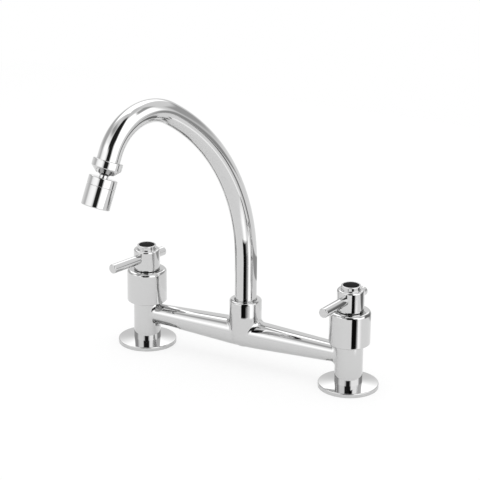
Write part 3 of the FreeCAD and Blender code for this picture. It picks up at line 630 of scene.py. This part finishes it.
# %% [markdown]
# ## The swan-neck spout
# The spout is a drawn brass tube, bent twice: a long easy sweep up from the riser and a tighter hook over to
# the outlet. A curve with a bevel would do, but its twist and its end caps are hard to steer. Here rings are
# placed along the centre line, which is a straight, two arcs and a straight, so each ring's directions are
# known exactly. The tube is a real tube with a wall, open at both ends.

# %% Spout tube
TUBE_WALL = 1.0
RISER_TOP = 93.5
SWEEP_RADIUS = 172.0
SWEEP_TURN = math.radians(59.7)
HOOK_RADIUS = 42.4
OUTLET_RUN = 6.3
BALL_DEPTH = 7.1
BEND_STEP = math.radians(1.2)
outlet_axis = Vector(joints["aerator_pan"]["axis"])
ball_centre = Vector(joints["aerator_pan"]["pos_m"])
outward = Vector((outlet_axis.x, outlet_axis.y, 0)).normalized()
HOOK_TURN = math.pi - math.acos(-outlet_axis.z)
TUBE_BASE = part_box("spout_tube")[0].z / MM


def arc_stations(centre_out, centre_up, radius, start, stop):
    """Stations along a bend about a centre, from one turn to another."""
    turns = np.linspace(start, stop, math.ceil((stop - start) / BEND_STEP))
    return [(centre_out - radius * math.cos(t), centre_up + radius * math.sin(t), t) for t in turns]


def spout_line():
    """Stations along the tube: how far out, how high, and how far it has bent over."""
    stations = [(0, TUBE_BASE, 0), (0, TUBE_BASE + EDGE, 0)]
    stations += arc_stations(SWEEP_RADIUS, RISER_TOP, SWEEP_RADIUS, 0, SWEEP_TURN)
    inward = SWEEP_RADIUS - HOOK_RADIUS
    hook_out = SWEEP_RADIUS - inward * math.cos(SWEEP_TURN)
    hook_up = RISER_TOP + inward * math.sin(SWEEP_TURN)
    stations += arc_stations(hook_out, hook_up, HOOK_RADIUS, SWEEP_TURN, HOOK_TURN)[1:]
    out, up, turn = stations[-1]
    for run in (OUTLET_RUN - EDGE, OUTLET_RUN):
        stations.append((out + run * math.sin(turn), up + run * math.cos(turn), turn))
    return stations


def bent_tube(name, stations):
    """Rings along the stations, outside first and then back along the bore."""
    forward = np.array(outward)
    beside = np.array([forward[1], -forward[0], 0])
    rise = np.array([0, 0, 1.0])
    angles = np.linspace(0, 2 * math.pi, SEGMENTS, endpoint=False)
    vertices = []
    normals = []
    for side, radius, line in ((1, TUBE_RADIUS, stations), (-1, TUBE_RADIUS - TUBE_WALL, stations[::-1])):
        for out, up, turn in line:
            square = forward * math.cos(turn) - rise * math.sin(turn)
            ring = np.cos(angles)[:, None] * beside + np.sin(angles)[:, None] * square
            vertices.append(forward * out + rise * up + radius * ring)
            normals.append(side * ring)
    faces = grid_faces(len(vertices), SEGMENTS, True)
    return make_mesh(name, np.concatenate(vertices), faces, np.concatenate(normals))


stations = spout_line()
dress(bent_tube("spout_tube_dressed", stations), "spout_tube")
tube_end = ball_centre - outlet_axis * BALL_DEPTH * MM
print("tube rings", len(stations), "end at", [round(stations[-1][n], 2) for n in (0, 1)], "frame says",
      round(math.hypot(tube_end.x, tube_end.y) / MM, 2), round(tube_end.z / MM, 2))

# %% [markdown]
# ## Ball nut and aerator
# The outlet is a stack of lathe pieces on one slanted axis: a nut with a coned mouth, the ball and its neck,
# a short cup and the aerator's shroud, parted by a fine groove. The frame's ball joint gives the axis, so the
# stack is written as radius and depth below the tube's end and placed there in one matrix.

# %% Nut, ball, cup and shroud
tilt = outlet_axis.to_track_quat("Z", "Y").to_matrix().to_4x4()
at_outlet = Matrix.Translation(tube_end) @ tilt
NUT = {"radius": 12.3, "straight": 6.0, "length": 10.7, "mouth": 7.4, "round": 0.7, "mouth_round": 0.25,
       "opening": 5.4}
NUT_THREAD = {"radius": 10.55, "depth": 4.6}
SEAT_BORE = {"radius": 8.85, "shoulder": 6.1, "throat": 6.65, "base": 8.3}
LIP_GAP = 0.2
LIP_CHORDS = 5
BALL_RADIUS = 6.2
BALL_TOP = 2.6
BALL_BORE = 2.6
BALL_CHORDS = 12
NECK_RADIUS = 3.75
CUP_RADIUS = 11.75
CUP_TOP = 13.9
CUP_BASE = 20.9
CUP_ROUND = 0.9
CUP_THREAD = {"radius": 10.3, "base": 25.9, "bore": 8.7}
CUP_ROOF = 3.6
NECK_FOOT = CUP_TOP + CUP_ROOF
GROOVE_ROUND = 0.2
SHROUD_TOP = 21.3
SHROUD_BASE = 38.2
SHROUD_ROUND = 0.8
SHROUD_MOUTH = 9.1
SHROUD_MOUTH_ROUND = 0.3
SHROUD_LIP = 1.4


def about_ball(radius, start, stop, count):
    """Corners along a round about the ball's centre, between two angles down from its widest level."""
    turns = np.linspace(start, stop, count)
    return [(radius * math.cos(t), BALL_DEPTH + radius * math.sin(t), EDGE) for t in turns]


def ball_outline():
    """The ball's round as a few chords, cut off at its top, with the neck below it."""
    start = math.asin((BALL_TOP - BALL_DEPTH) / BALL_RADIUS)
    stop = math.acos(NECK_RADIUS / BALL_RADIUS)
    return about_ball(BALL_RADIUS, start, stop, BALL_CHORDS) + [
        (NECK_RADIUS, NECK_FOOT, EDGE), (BALL_BORE, NECK_FOOT, EDGE), (BALL_BORE, BALL_TOP, EDGE)]


def nut_outline():
    """Down the nut's outside to its mouth, and up past the lip, hollowed so that the ball can turn."""
    lip = BALL_RADIUS + LIP_GAP
    start = math.acos(NUT["opening"] / lip)
    stop = math.asin((SEAT_BORE["base"] - BALL_DEPTH) / lip)
    outside = [
        (NUT_THREAD["radius"], 0, EDGE), (NUT["radius"], 0, NUT["round"]),
        (NUT["radius"], NUT["straight"], NUT["round"]), (NUT["mouth"], NUT["length"], NUT["mouth_round"]),
        (NUT["opening"], NUT["length"], EDGE)]
    return outside + about_ball(lip, start, stop, LIP_CHORDS) + [
        (SEAT_BORE["throat"], SEAT_BORE["base"], EDGE), (SEAT_BORE["radius"], SEAT_BORE["shoulder"], EDGE),
        (SEAT_BORE["radius"], NUT_THREAD["depth"], EDGE), (NUT_THREAD["radius"], NUT_THREAD["depth"], EDGE)]


lathe_piece("ball_nut", nut_outline(), at_outlet)
lathe_piece("ball_stem", ball_outline(), at_outlet)
lathe_piece("swivel_cup", [
    (NECK_RADIUS, CUP_TOP, EDGE), (CUP_RADIUS, CUP_TOP, CUP_ROUND), (CUP_RADIUS, CUP_BASE, GROOVE_ROUND),
    (CUP_THREAD["radius"], CUP_BASE, EDGE), (CUP_THREAD["radius"], CUP_THREAD["base"], EDGE),
    (CUP_THREAD["bore"], CUP_THREAD["base"], EDGE), (CUP_THREAD["bore"], NECK_FOOT, EDGE),
    (NECK_RADIUS, NECK_FOOT, EDGE)], at_outlet)
lathe_piece("aerator_shroud", [
    (CUP_THREAD["radius"], SHROUD_TOP, EDGE), (CUP_RADIUS, SHROUD_TOP, GROOVE_ROUND),
    (CUP_RADIUS, SHROUD_BASE, SHROUD_ROUND), (SHROUD_MOUTH, SHROUD_BASE, SHROUD_MOUTH_ROUND),
    (SHROUD_MOUTH, SHROUD_BASE - SHROUD_LIP, EDGE), (CUP_THREAD["radius"], SHROUD_BASE - SHROUD_LIP, EDGE)],
    at_outlet)
print("outlet axis leans", round(math.degrees(math.acos(-outlet_axis.z)), 1), "degrees")

# %% [markdown]
# ## The aerator's wire screen
# Behind the shroud's lip sits a round of woven wire. It shows only from below, but then it is the first
# thing one looks at. Each wire runs straight across the round and waves over and under its neighbours, one
# half wave per crossing, so the weave is one small loop.

# %% Wire screen
WIRE_PITCH = 1.9  # a real screen has about 0.5 mm, too fine to show
WIRE_RADIUS = 0.15
SCREEN_RADIUS = 10.1
SCREEN_DEPTH = SHROUD_BASE - SHROUD_LIP - 2 * WIRE_RADIUS
WIRE_SIDES = 8
POINTS_PER_PITCH = 8


def wire(offset, along_x, phase):
    """Points and faces of one waving wire across the round."""
    half = math.sqrt(SCREEN_RADIUS ** 2 - offset ** 2)
    count = max(POINTS_PER_PITCH, round(2 * half / WIRE_PITCH * POINTS_PER_PITCH))
    run = np.linspace(-half, half, count)
    wave = WIRE_RADIUS * np.cos(math.pi * (run / WIRE_PITCH + phase))
    angles = np.linspace(0, 2 * math.pi, WIRE_SIDES, endpoint=False)
    across = offset + WIRE_RADIUS * np.cos(angles)[None, :] + 0 * run[:, None]
    level = SCREEN_DEPTH + wave[:, None] + WIRE_RADIUS * np.sin(angles)[None, :]
    along = run[:, None] + 0 * across
    columns = (along, across, level) if along_x else (-across, along, level)
    faces = grid_faces(count, WIRE_SIDES, False)
    faces += [tuple(range(WIRE_SIDES))[::-1], tuple((count - 1) * WIRE_SIDES + n for n in range(WIRE_SIDES))]
    return np.stack(columns, axis=-1).reshape(-1, 3), faces


def woven_screen():
    count = int(SCREEN_RADIUS / WIRE_PITCH)
    points = []
    faces = []
    for along_x in (True, False):
        for number in range(-count, count + 1):
            more, strips = wire(number * WIRE_PITCH, along_x, number + (0 if along_x else 1))
            start = sum(len(group) for group in points)
            faces += [tuple(start + index for index in strip) for strip in strips]
            points.append(more)
    return make_mesh("mesh_screen_dressed", carried(np.concatenate(points), at_outlet), faces)


screen = dress(woven_screen(), "mesh_screen")
print("screen", len(screen.data.polygons), "faces")

# %% [markdown]
# ## Under the deck
# The worktop hides these in a kitchen: two threaded brass shanks, a steel washer and a brass nut on each. A
# thread could be a screw modifier, but it has to stop cleanly at the relief groove and the end. So the shank
# is a grid of rings whose radius follows a slanted wave, which fades out where there is no thread.

# %% Shanks, washers and nuts
THREAD_PITCH = 1.814
THREAD_DEPTH = 1.0
THREAD_TOP = -14.0
SHANK_BORE = 6.5
SPIGOT_RADIUS = 9.0
RELIEF = (-33.0, -30.5)
RELIEF_DEPTH = 0.9
THREAD_SEGMENTS = 72
LEVELS_PER_PITCH = 9
END_CHAMFER = 0.6  # as a share of the thread's depth
THREAD_CREASE = math.radians(50)
NUT_FLATS = 30.0
NUT_FACE = 0.97  # of the width across flats
NUT_CHAMFER = math.tan(math.radians(30))
NUT_STEP = 2.5  # in degrees, as is a sixth of a turn
SIXTH = 60
NUT_CREASE = math.radians(25)
WASHER_EDGE = 0.3
WASHER_RIM = 0.5


def thread_radius(level, share, foot):
    """Radius of the shank's outside at a level and a share of one turn."""
    plain = SHANK_RADIUS - (RELIEF_DEPTH if RELIEF[0] < level < RELIEF[1] else 0)
    start = min(1.0, max(0.0, (level - foot) / THREAD_PITCH))
    stop = min(1.0, max(0.0, (THREAD_TOP - level) / THREAD_PITCH))
    ridge = abs(2 * ((level / THREAD_PITCH - share) % 1) - 1)
    cut = ridge * stop + END_CHAMFER * (1 - start)
    return max(SHANK_RADIUS - THREAD_DEPTH, plain - THREAD_DEPTH * cut)


def threaded_shank(name, foot, top, place):
    levels = np.arange(foot, THREAD_TOP + THREAD_PITCH, THREAD_PITCH / LEVELS_PER_PITCH)
    shares = np.arange(THREAD_SEGMENTS) / THREAD_SEGMENTS
    rows = [[(thread_radius(z, s, foot), z) for s in shares] for z in levels]
    upper = [(SHANK_RADIUS, FLANGE_TOP - EDGE), (SPIGOT_RADIUS, FLANGE_TOP), (SPIGOT_RADIUS, top)]
    rows += [[(r, z)] * THREAD_SEGMENTS for r, z in upper + [(SHANK_BORE, top), (SHANK_BORE, foot)]]
    turns = 2 * math.pi * shares
    points = [(r * math.cos(t), r * math.sin(t), z) for row in rows for (r, z), t in zip(row, turns)]
    faces = grid_faces(len(rows), THREAD_SEGMENTS, True)
    piece = make_mesh(name, np.array(points) + np.array(place) / MM, faces)
    piece.data.set_sharp_from_angle(angle=THREAD_CREASE)
    return piece


def hexagon_nut(name, low, high, bore, place):
    """A six-sided nut whose corners are turned off at both ends in a shallow cone."""
    turns = np.arange(0, 6 * SIXTH, NUT_STEP)
    hexagon = NUT_FLATS / 2 / np.cos(np.radians((turns + SIXTH / 2) % SIXTH - SIXTH / 2))
    face = np.full_like(hexagon, NUT_FACE * NUT_FLATS / 2)
    drop = (hexagon - face) * NUT_CHAMFER
    bored = np.full_like(hexagon, bore)
    rings = [(bored, low + 0 * drop), (face, low + 0 * drop), (hexagon, low + drop), (hexagon, high - drop),
             (face, high + 0 * drop), (bored, high + 0 * drop)]
    cosine = np.cos(np.radians(turns))
    sine = np.sin(np.radians(turns))
    points = np.concatenate([np.stack([r * cosine, r * sine, z], axis=1) for r, z in rings])
    piece = make_mesh(name, points + np.array(place) / MM, grid_faces(len(rings), len(turns), True))
    piece.data.set_sharp_from_angle(angle=NUT_CREASE)
    return piece


for side, pillar in PILLARS.items():
    _, foot, top = upright_size(side + "_inlet_shank")
    dress(threaded_shank(side + "_inlet_shank_dressed", foot, top, pillar), side + "_inlet_shank")
    radius, low, high = upright_size(side + "_clamp_washer")
    lathe_piece(side + "_clamp_washer", [
        (SHANK_RADIUS, low, WASHER_EDGE), (radius, low, WASHER_EDGE), (radius, high, WASHER_RIM),
        (SHANK_RADIUS, high, WASHER_EDGE)], Matrix.Translation(pillar))
    _, low, high = upright_size(side + "_back_nut")
    dress(hexagon_nut(side + "_back_nut_dressed", low, high, SHANK_RADIUS, pillar), side + "_back_nut")
    print(side, "shank from", round(foot, 1), "to", round(top, 1), "mm, nut", NUT_FLATS, "mm across flats")

# %% [markdown]
# ## The pieces that stay as they are
# Seals, discs, spindles and screws sit inside the tap, and their shapes in the frame are right. They keep
# their meshes and only get the finish of their slot.

# %% Finishes of the inner pieces
kept = [name for name, node in frame["nodes"].items() if not node.hide_render]
for name in kept:
    node = frame["nodes"][name]
    node.data.materials.clear()
    node.data.materials.append(finishes[node_slot[name]])
print("inner pieces that keep their mesh", len(kept))

# %% [markdown]
# ## Camera
# The photograph looks down at about twenty degrees, from the user's right, through a long lens. A long lens
# far away keeps the pillars nearly parallel. The camera's axes are written as a matrix, with a slight roll.

# %% Camera
AZIMUTH = math.radians(28.43)
ELEVATION = math.radians(19.68)
ROLL = math.radians(0.52)
CAMERA_DISTANCE = 1.55458
CAMERA_TARGET = Vector((0, 0, 0.060))
CAMERA_ASIDE = -0.0049
CAMERA_RAISED = 0.05087
LENS_MM = 134.44
SENSOR_MM = 36.0


def facing(azimuth, elevation):
    """Direction from the tap towards a place seen at this azimuth and elevation. Azimuth 0 is the user."""
    flat = math.cos(elevation)
    return Vector((math.sin(azimuth) * flat, -math.cos(azimuth) * flat, math.sin(elevation)))


def photograph_camera():
    back = facing(AZIMUTH, ELEVATION)
    level = Vector((math.cos(AZIMUTH), math.sin(AZIMUTH), 0))
    upward = back.cross(level)
    right = level * math.cos(ROLL) + upward * math.sin(ROLL)
    above = upward * math.cos(ROLL) - level * math.sin(ROLL)
    place = CAMERA_TARGET + back * CAMERA_DISTANCE + right * CAMERA_ASIDE + above * CAMERA_RAISED
    camera = bpy.data.objects.new("camera", bpy.data.cameras.new("camera"))
    camera.data.lens = LENS_MM
    camera.data.sensor_width = SENSOR_MM
    camera.matrix_world = Matrix((right, above, back)).transposed().to_4x4()
    camera.matrix_world.translation = place
    bpy.context.scene.collection.objects.link(camera)
    return camera


bpy.context.scene.camera = photograph_camera()
print("camera at", [round(value, 3) for value in bpy.context.scene.camera.matrix_world.translation])

# %% [markdown]
# ## White floor
# The photograph has a plain white ground. The floor is ordinary matt white mixed with a plain glow that only
# the camera and mirrors see: the ground comes out white without any extra light on the tap, and the soft
# shadow at the flanges stays. Mirrors get less of the glow, so the chrome near the ground shows that shadow.

# %% Floor
FLOOR_HALF = 0.8
GLOW_SHARE = 0.75
MIRRORED_SHARE = 0.3


def mirror_rays(path):
    """One where a ray comes off a mirror or through glass, and nought for other light."""
    return maths(path.id_data, "MAXIMUM", path.outputs["Is Glossy Ray"], path.outputs["Is Transmission Ray"])


def mix_surfaces(tree, share, first, second):
    """Ends a material's tree in a mix of two surfaces."""
    mixed = add_node(tree, "ShaderNodeMixShader", {}, {
        "Fac": share, 1: first.outputs[0], 2: second.outputs[0]})
    add_node(tree, "ShaderNodeOutputMaterial", {}, {"Surface": mixed.outputs[0]})


def white_floor():
    material, tree = bare_material("matt_white_board")
    matt = add_node(tree, "ShaderNodeBsdfDiffuse", {"Color": linear("#FCFCFC")})
    glow = add_node(tree, "ShaderNodeEmission", {"Color": linear("#FFFFFF"), "Strength": 1.0})
    path = add_node(tree, "ShaderNodeLightPath")
    mirrored = maths(tree, "MULTIPLY", mirror_rays(path), MIRRORED_SHARE)
    share = maths(tree, "MULTIPLY_ADD", path.outputs["Is Camera Ray"], GLOW_SHARE, mirrored)
    mix_surfaces(tree, share, matt, glow)
    floor = make_mesh("floor", np.array([
        (-1, -1, 0), (1, -1, 0), (1, 1, 0), (-1, 1, 0)]) * FLOOR_HALF / MM, [(0, 1, 2, 3)])
    floor.data.materials.append(material)


white_floor()
print("floor", 2 * FLOOR_HALF, "m square")

# %% [markdown]
# ## The studio that the chrome mirrors
# Chrome has hardly a colour of its own: it is a picture of the room. A photographer builds that picture with
# softboxes, which are white, and with flags and gaps, which are dark. Real lamps would do it, but their hard
# rectangles show as cut-outs in a mirror. So the room is painted on the world by direction instead: each
# panel covers a range of azimuth and elevation with a soft edge, and later ones lie over earlier ones. Only
# mirrors see it. The camera sees plain white, and other light is even.

# %% Painted room
AMBIENT = 0.9
PANELS = {
    "ceiling": {"azimuth": (-200, 200), "elevation": (72, 120), "soft": 8, "glow": 0.85},
    "left_wall": {"azimuth": (-130, -58), "elevation": (6, 40), "soft": 10, "glow": 0.6},
    "rear_softbox": {"azimuth": (-177, -93), "elevation": (58, 110), "slant": 0.22, "soft": 7, "glow": 2.0},
    "left_softbox": {"azimuth": (-60, 0), "elevation": (8, 44), "soft": 9, "glow": 1.35},
    "left_core": {"azimuth": (-48, -4), "elevation": (17, 30), "soft": 6, "glow": 1.8},
    "left_flag": {"azimuth": (-66, -14), "elevation": (45, 61), "soft": 7, "glow": 0.5},
    "right_softbox": {"azimuth": (47, 114), "elevation": (4, 64), "soft": 6, "glow": 2.0},
    "right_skirt": {"azimuth": (47, 97), "elevation": (-30, 8), "soft": 5, "glow": 1.9},
    "right_edge": {"azimuth": (108, 142), "elevation": (-18, 0), "soft": 4, "glow": 0.4},
    "right_flag": {"azimuth": (87, 122), "elevation": (40, 63), "soft": 6, "glow": 0.5},
    "rear_left": {"azimuth": (-200, -136), "elevation": (0, 24), "soft": 7, "glow": 0.85},
    "rear_right": {"azimuth": (126, 200), "elevation": (4, 24), "soft": 6, "glow": 0.5},
    "camera_gap": {"azimuth": (7, 39), "elevation": (-30, 30), "soft": 4, "glow": 0.02},
    "upper_gap": {"azimuth": (-6, 46), "elevation": (22, 76), "soft": 6, "glow": 0.02},
}


def painted_room(tree):
    """Brightness of the room in each direction, where 1 is plain white."""
    place = add_node(tree, "ShaderNodeTexCoord")
    split = add_node(tree, "ShaderNodeSeparateXYZ", {}, {0: place.outputs["Generated"]})
    forward = maths(tree, "MULTIPLY", split.outputs["Y"], -1.0)
    around = maths(tree, "ARCTAN2", split.outputs["X"], forward)
    height = maths(tree, "ARCSINE", split.outputs["Z"])
    room = maths(tree, "ADD", 1.0, 0.0)
    for panel in PANELS.values():
        level = maths(tree, "MULTIPLY_ADD", around, -panel.get("slant", 0), height)
        cover = None
        for axis, angle in (("azimuth", around), ("elevation", level)):
            for edge, ends in zip(panel[axis], ((0.0, 1.0), (1.0, 0.0))):
                ramp = add_node(tree, "ShaderNodeMapRange", {
                    "interpolation_type": "SMOOTHSTEP", "From Min": math.radians(edge - panel["soft"]),
                    "From Max": math.radians(edge + panel["soft"]), "To Min": ends[0], "To Max": ends[1]},
                    {"Value": angle}).outputs["Result"]
                cover = ramp if cover is None else maths(tree, "MULTIPLY", cover, ramp)
        room = add_node(tree, "ShaderNodeMix", {"data_type": "FLOAT", 3: panel["glow"]},
                        {0: cover, 2: room}).outputs[0]
    return room


def studio_world():
    world = bpy.data.worlds.new("studio")
    bpy.context.scene.world = world
    world.use_nodes = True
    tree = world.node_tree
    tree.nodes.clear()
    path = add_node(tree, "ShaderNodeLightPath")
    plain = add_node(tree, "ShaderNodeMapRange", {"To Min": AMBIENT, "To Max": 1.0},
                     {"Value": path.outputs["Is Camera Ray"]})
    strength = add_node(tree, "ShaderNodeMix", {"data_type": "FLOAT"}, {
        0: mirror_rays(path), 2: plain.outputs["Result"], 3: painted_room(tree)})
    room = add_node(tree, "ShaderNodeBackground", {"Color": linear("#FFFFFF")},
                    {"Strength": strength.outputs[0]})
    add_node(tree, "ShaderNodeOutputWorld", {}, {"Surface": room.outputs[0]})


studio_world()
bpy.context.scene.view_settings.view_transform = "Standard"
print("panels", len(PANELS), "even light", AMBIENT)

# %% [markdown]
# ## Lamp, cards and floor strips
# One wide lamp overhead gives the soft shadow on the ground. Mirrors don't see it: the painted room is their
# light. The room is endless, so it can't give one piece a line that its neighbour lacks. Small cards near the
# tap do that: the crisp black lines on the boss, the riser and the right bell mirror a dark card each. Strips
# on the floor do the same for chrome that mirrors the ground. Only mirrors see them, and each side of a card
# fades on its own, so that its picture is crisp on one side and soft on another.

# %% Lamp and cards
LAMP = {"height": 1.5, "size": 1.2, "glow": 1.3}
FLOOR_STRIP_LIFT = 0.5
# Cards with a glow near nought paint dark lines into the chrome, and the bright ones paint highlights.
UPRIGHT_CARDS = {
    "boss_card": {"at": (10.5, -21.7), "azimuth": 19, "width": 18.4, "levels": (42, 57), "glow": 0.005,
                  "fades": (1.2, 9, 1.5, 1.5)},
    "riser_card": {"at": (11.7, -20.9), "azimuth": 28, "width": 21, "levels": (52.5, 110), "glow": 0.005,
                   "fades": (1.2, 11, 2, 4)},
    "riser_top": {"at": (12.2, -22.0), "azimuth": 28, "width": 17, "levels": (95, 152), "glow": 1.75,
                  "fades": (7, 7, 4, 28)},
    "riser_fill": {"at": (19.8, -10.9), "azimuth": 65, "width": 12, "levels": (42, 125), "glow": 1.8,
                   "fades": (3, 7, 2, 20)},
    "right_card": {"at": (132.9, -30.8), "azimuth": 43, "width": 25, "levels": (28.4, 85), "glow": 0.005,
                   "fades": (2.4, 8, 1, 3)},
    "bar_card": {"at": (168, 21), "azimuth": 7, "width": 108, "levels": (56, 104), "glow": 0.2,
                 "fades": (10, 10, 6, 12)},
    "bridge_backing": {"at": (0, 16), "azimuth": 180, "width": 168, "levels": (44, 74), "glow": 0.98,
                       "fades": (2.4, 2.4, 2.4, 2.4)},
    "bridge_line": {"at": (0, 17), "azimuth": 180, "width": 168, "levels": (70, 96), "glow": 0.42,
                    "fades": (2.4, 2.4, 2.4, 2.4)},
}
# Floor strips paint reflections of the ground: dark_strip a darker band, bell_strip and sweep_strip brighter
# ones.
FLOOR_STRIPS = {
    "dark_strip": {"start": 0, "azimuth": (102, 115), "reach": (320, 790), "lean": 2, "glow": 0.2,
                   "fades": (12, 25, 60, 20)},
    "bell_strip": {"start": 100, "azimuth": (66, 88), "reach": (85, 240), "lean": 0, "glow": 1.5,
                   "fades": (5, 20, 15, 60)},
    "sweep_strip": {"start": 0, "azimuth": (0, 80), "reach": (320, 740), "lean": 0, "glow": 1.2,
                    "fades": (200, 120, 150, 60)},
}


def overhead_lamp():
    light = bpy.data.lights.new("overhead_lamp", "AREA")
    light.size = LAMP["size"]
    light.energy = LAMP["glow"] * math.pi * LAMP["size"] ** 2
    lamp = bpy.data.objects.new("overhead_lamp", light)
    lamp.location = (0, 0, LAMP["height"])
    lamp.visible_glossy = False
    bpy.context.scene.collection.objects.link(lamp)


# A card's glow paints its reflection: a dark line in the chrome when near nought, a highlight when bright.
def card(name, corners, glow, fades):
    """A four-cornered card that only mirrors see. Its fades are those at its left, right, foot and head."""
    material, tree = bare_material(name + "_mirrored_glow")
    cover = add_node(tree, "ShaderNodeAttribute", {"attribute_name": "cover"})
    mirrored_glow = add_node(tree, "ShaderNodeEmission", {"Color": linear("#FFFFFF"), "Strength": glow})
    clear = add_node(tree, "ShaderNodeBsdfTransparent")
    mix_surfaces(tree, cover.outputs["Fac"], clear, mirrored_glow)
    first, second, third, fourth = np.array(corners, float)
    left, right = np.array(fades[:2]) / np.linalg.norm(second - first)
    foot, head = np.array(fades[2:]) / np.linalg.norm(fourth - first)
    points = [(first * (1 - s) + second * s) * (1 - t) + (fourth * (1 - s) + third * s) * t
              for t in (0, foot, 1 - head, 1) for s in (0, left, 1 - right, 1)]
    faces = [(n, n + 1, n + 5, n + 4) for row in range(3) for n in range(4 * row, 4 * row + 3)]
    sheet = make_mesh(name, points, faces)
    inner = [float(row in (1, 2) and column in (1, 2)) for row in range(4) for column in range(4)]
    sheet.data.attributes.new("cover", "FLOAT", "POINT").data.foreach_set("value", inner)
    sheet.data.materials.append(material)
    for ray in ("camera", "diffuse", "transmission", "shadow", "volume_scatter"):
        setattr(sheet, "visible_" + ray, False)


def upright_card(name, at, azimuth, width, levels, glow, fades):
    """A card that stands upright and faces its azimuth. Places and sizes are in millimetres."""
    half = np.array([math.cos(math.radians(azimuth)), math.sin(math.radians(azimuth))]) * width / 2
    left, right = np.array(at) - half, np.array(at) + half
    low, high = levels
    card(name, [(*left, low), (*right, low), (*right, high), (*left, high)], glow, fades)


def floor_strip(name, start, azimuth, reach, lean, glow, fades):
    """A card on the floor that runs away from a place on the bridge and leans round it on the way."""
    near = [facing(math.radians(angle), 0) * reach[0] for angle in azimuth]
    far = [facing(math.radians(angle + lean), 0) * reach[1] for angle in azimuth]
    lift = Vector((start, 0, FLOOR_STRIP_LIFT))
    card(name, [place + lift for place in (*near, *reversed(far))], glow, fades)


overhead_lamp()
for name, row in UPRIGHT_CARDS.items():
    upright_card(name, **row)
for name, row in FLOOR_STRIPS.items():
    floor_strip(name, **row)
print("cards", len(UPRIGHT_CARDS) + len(FLOOR_STRIPS), "lamp", LAMP["height"], "m up")
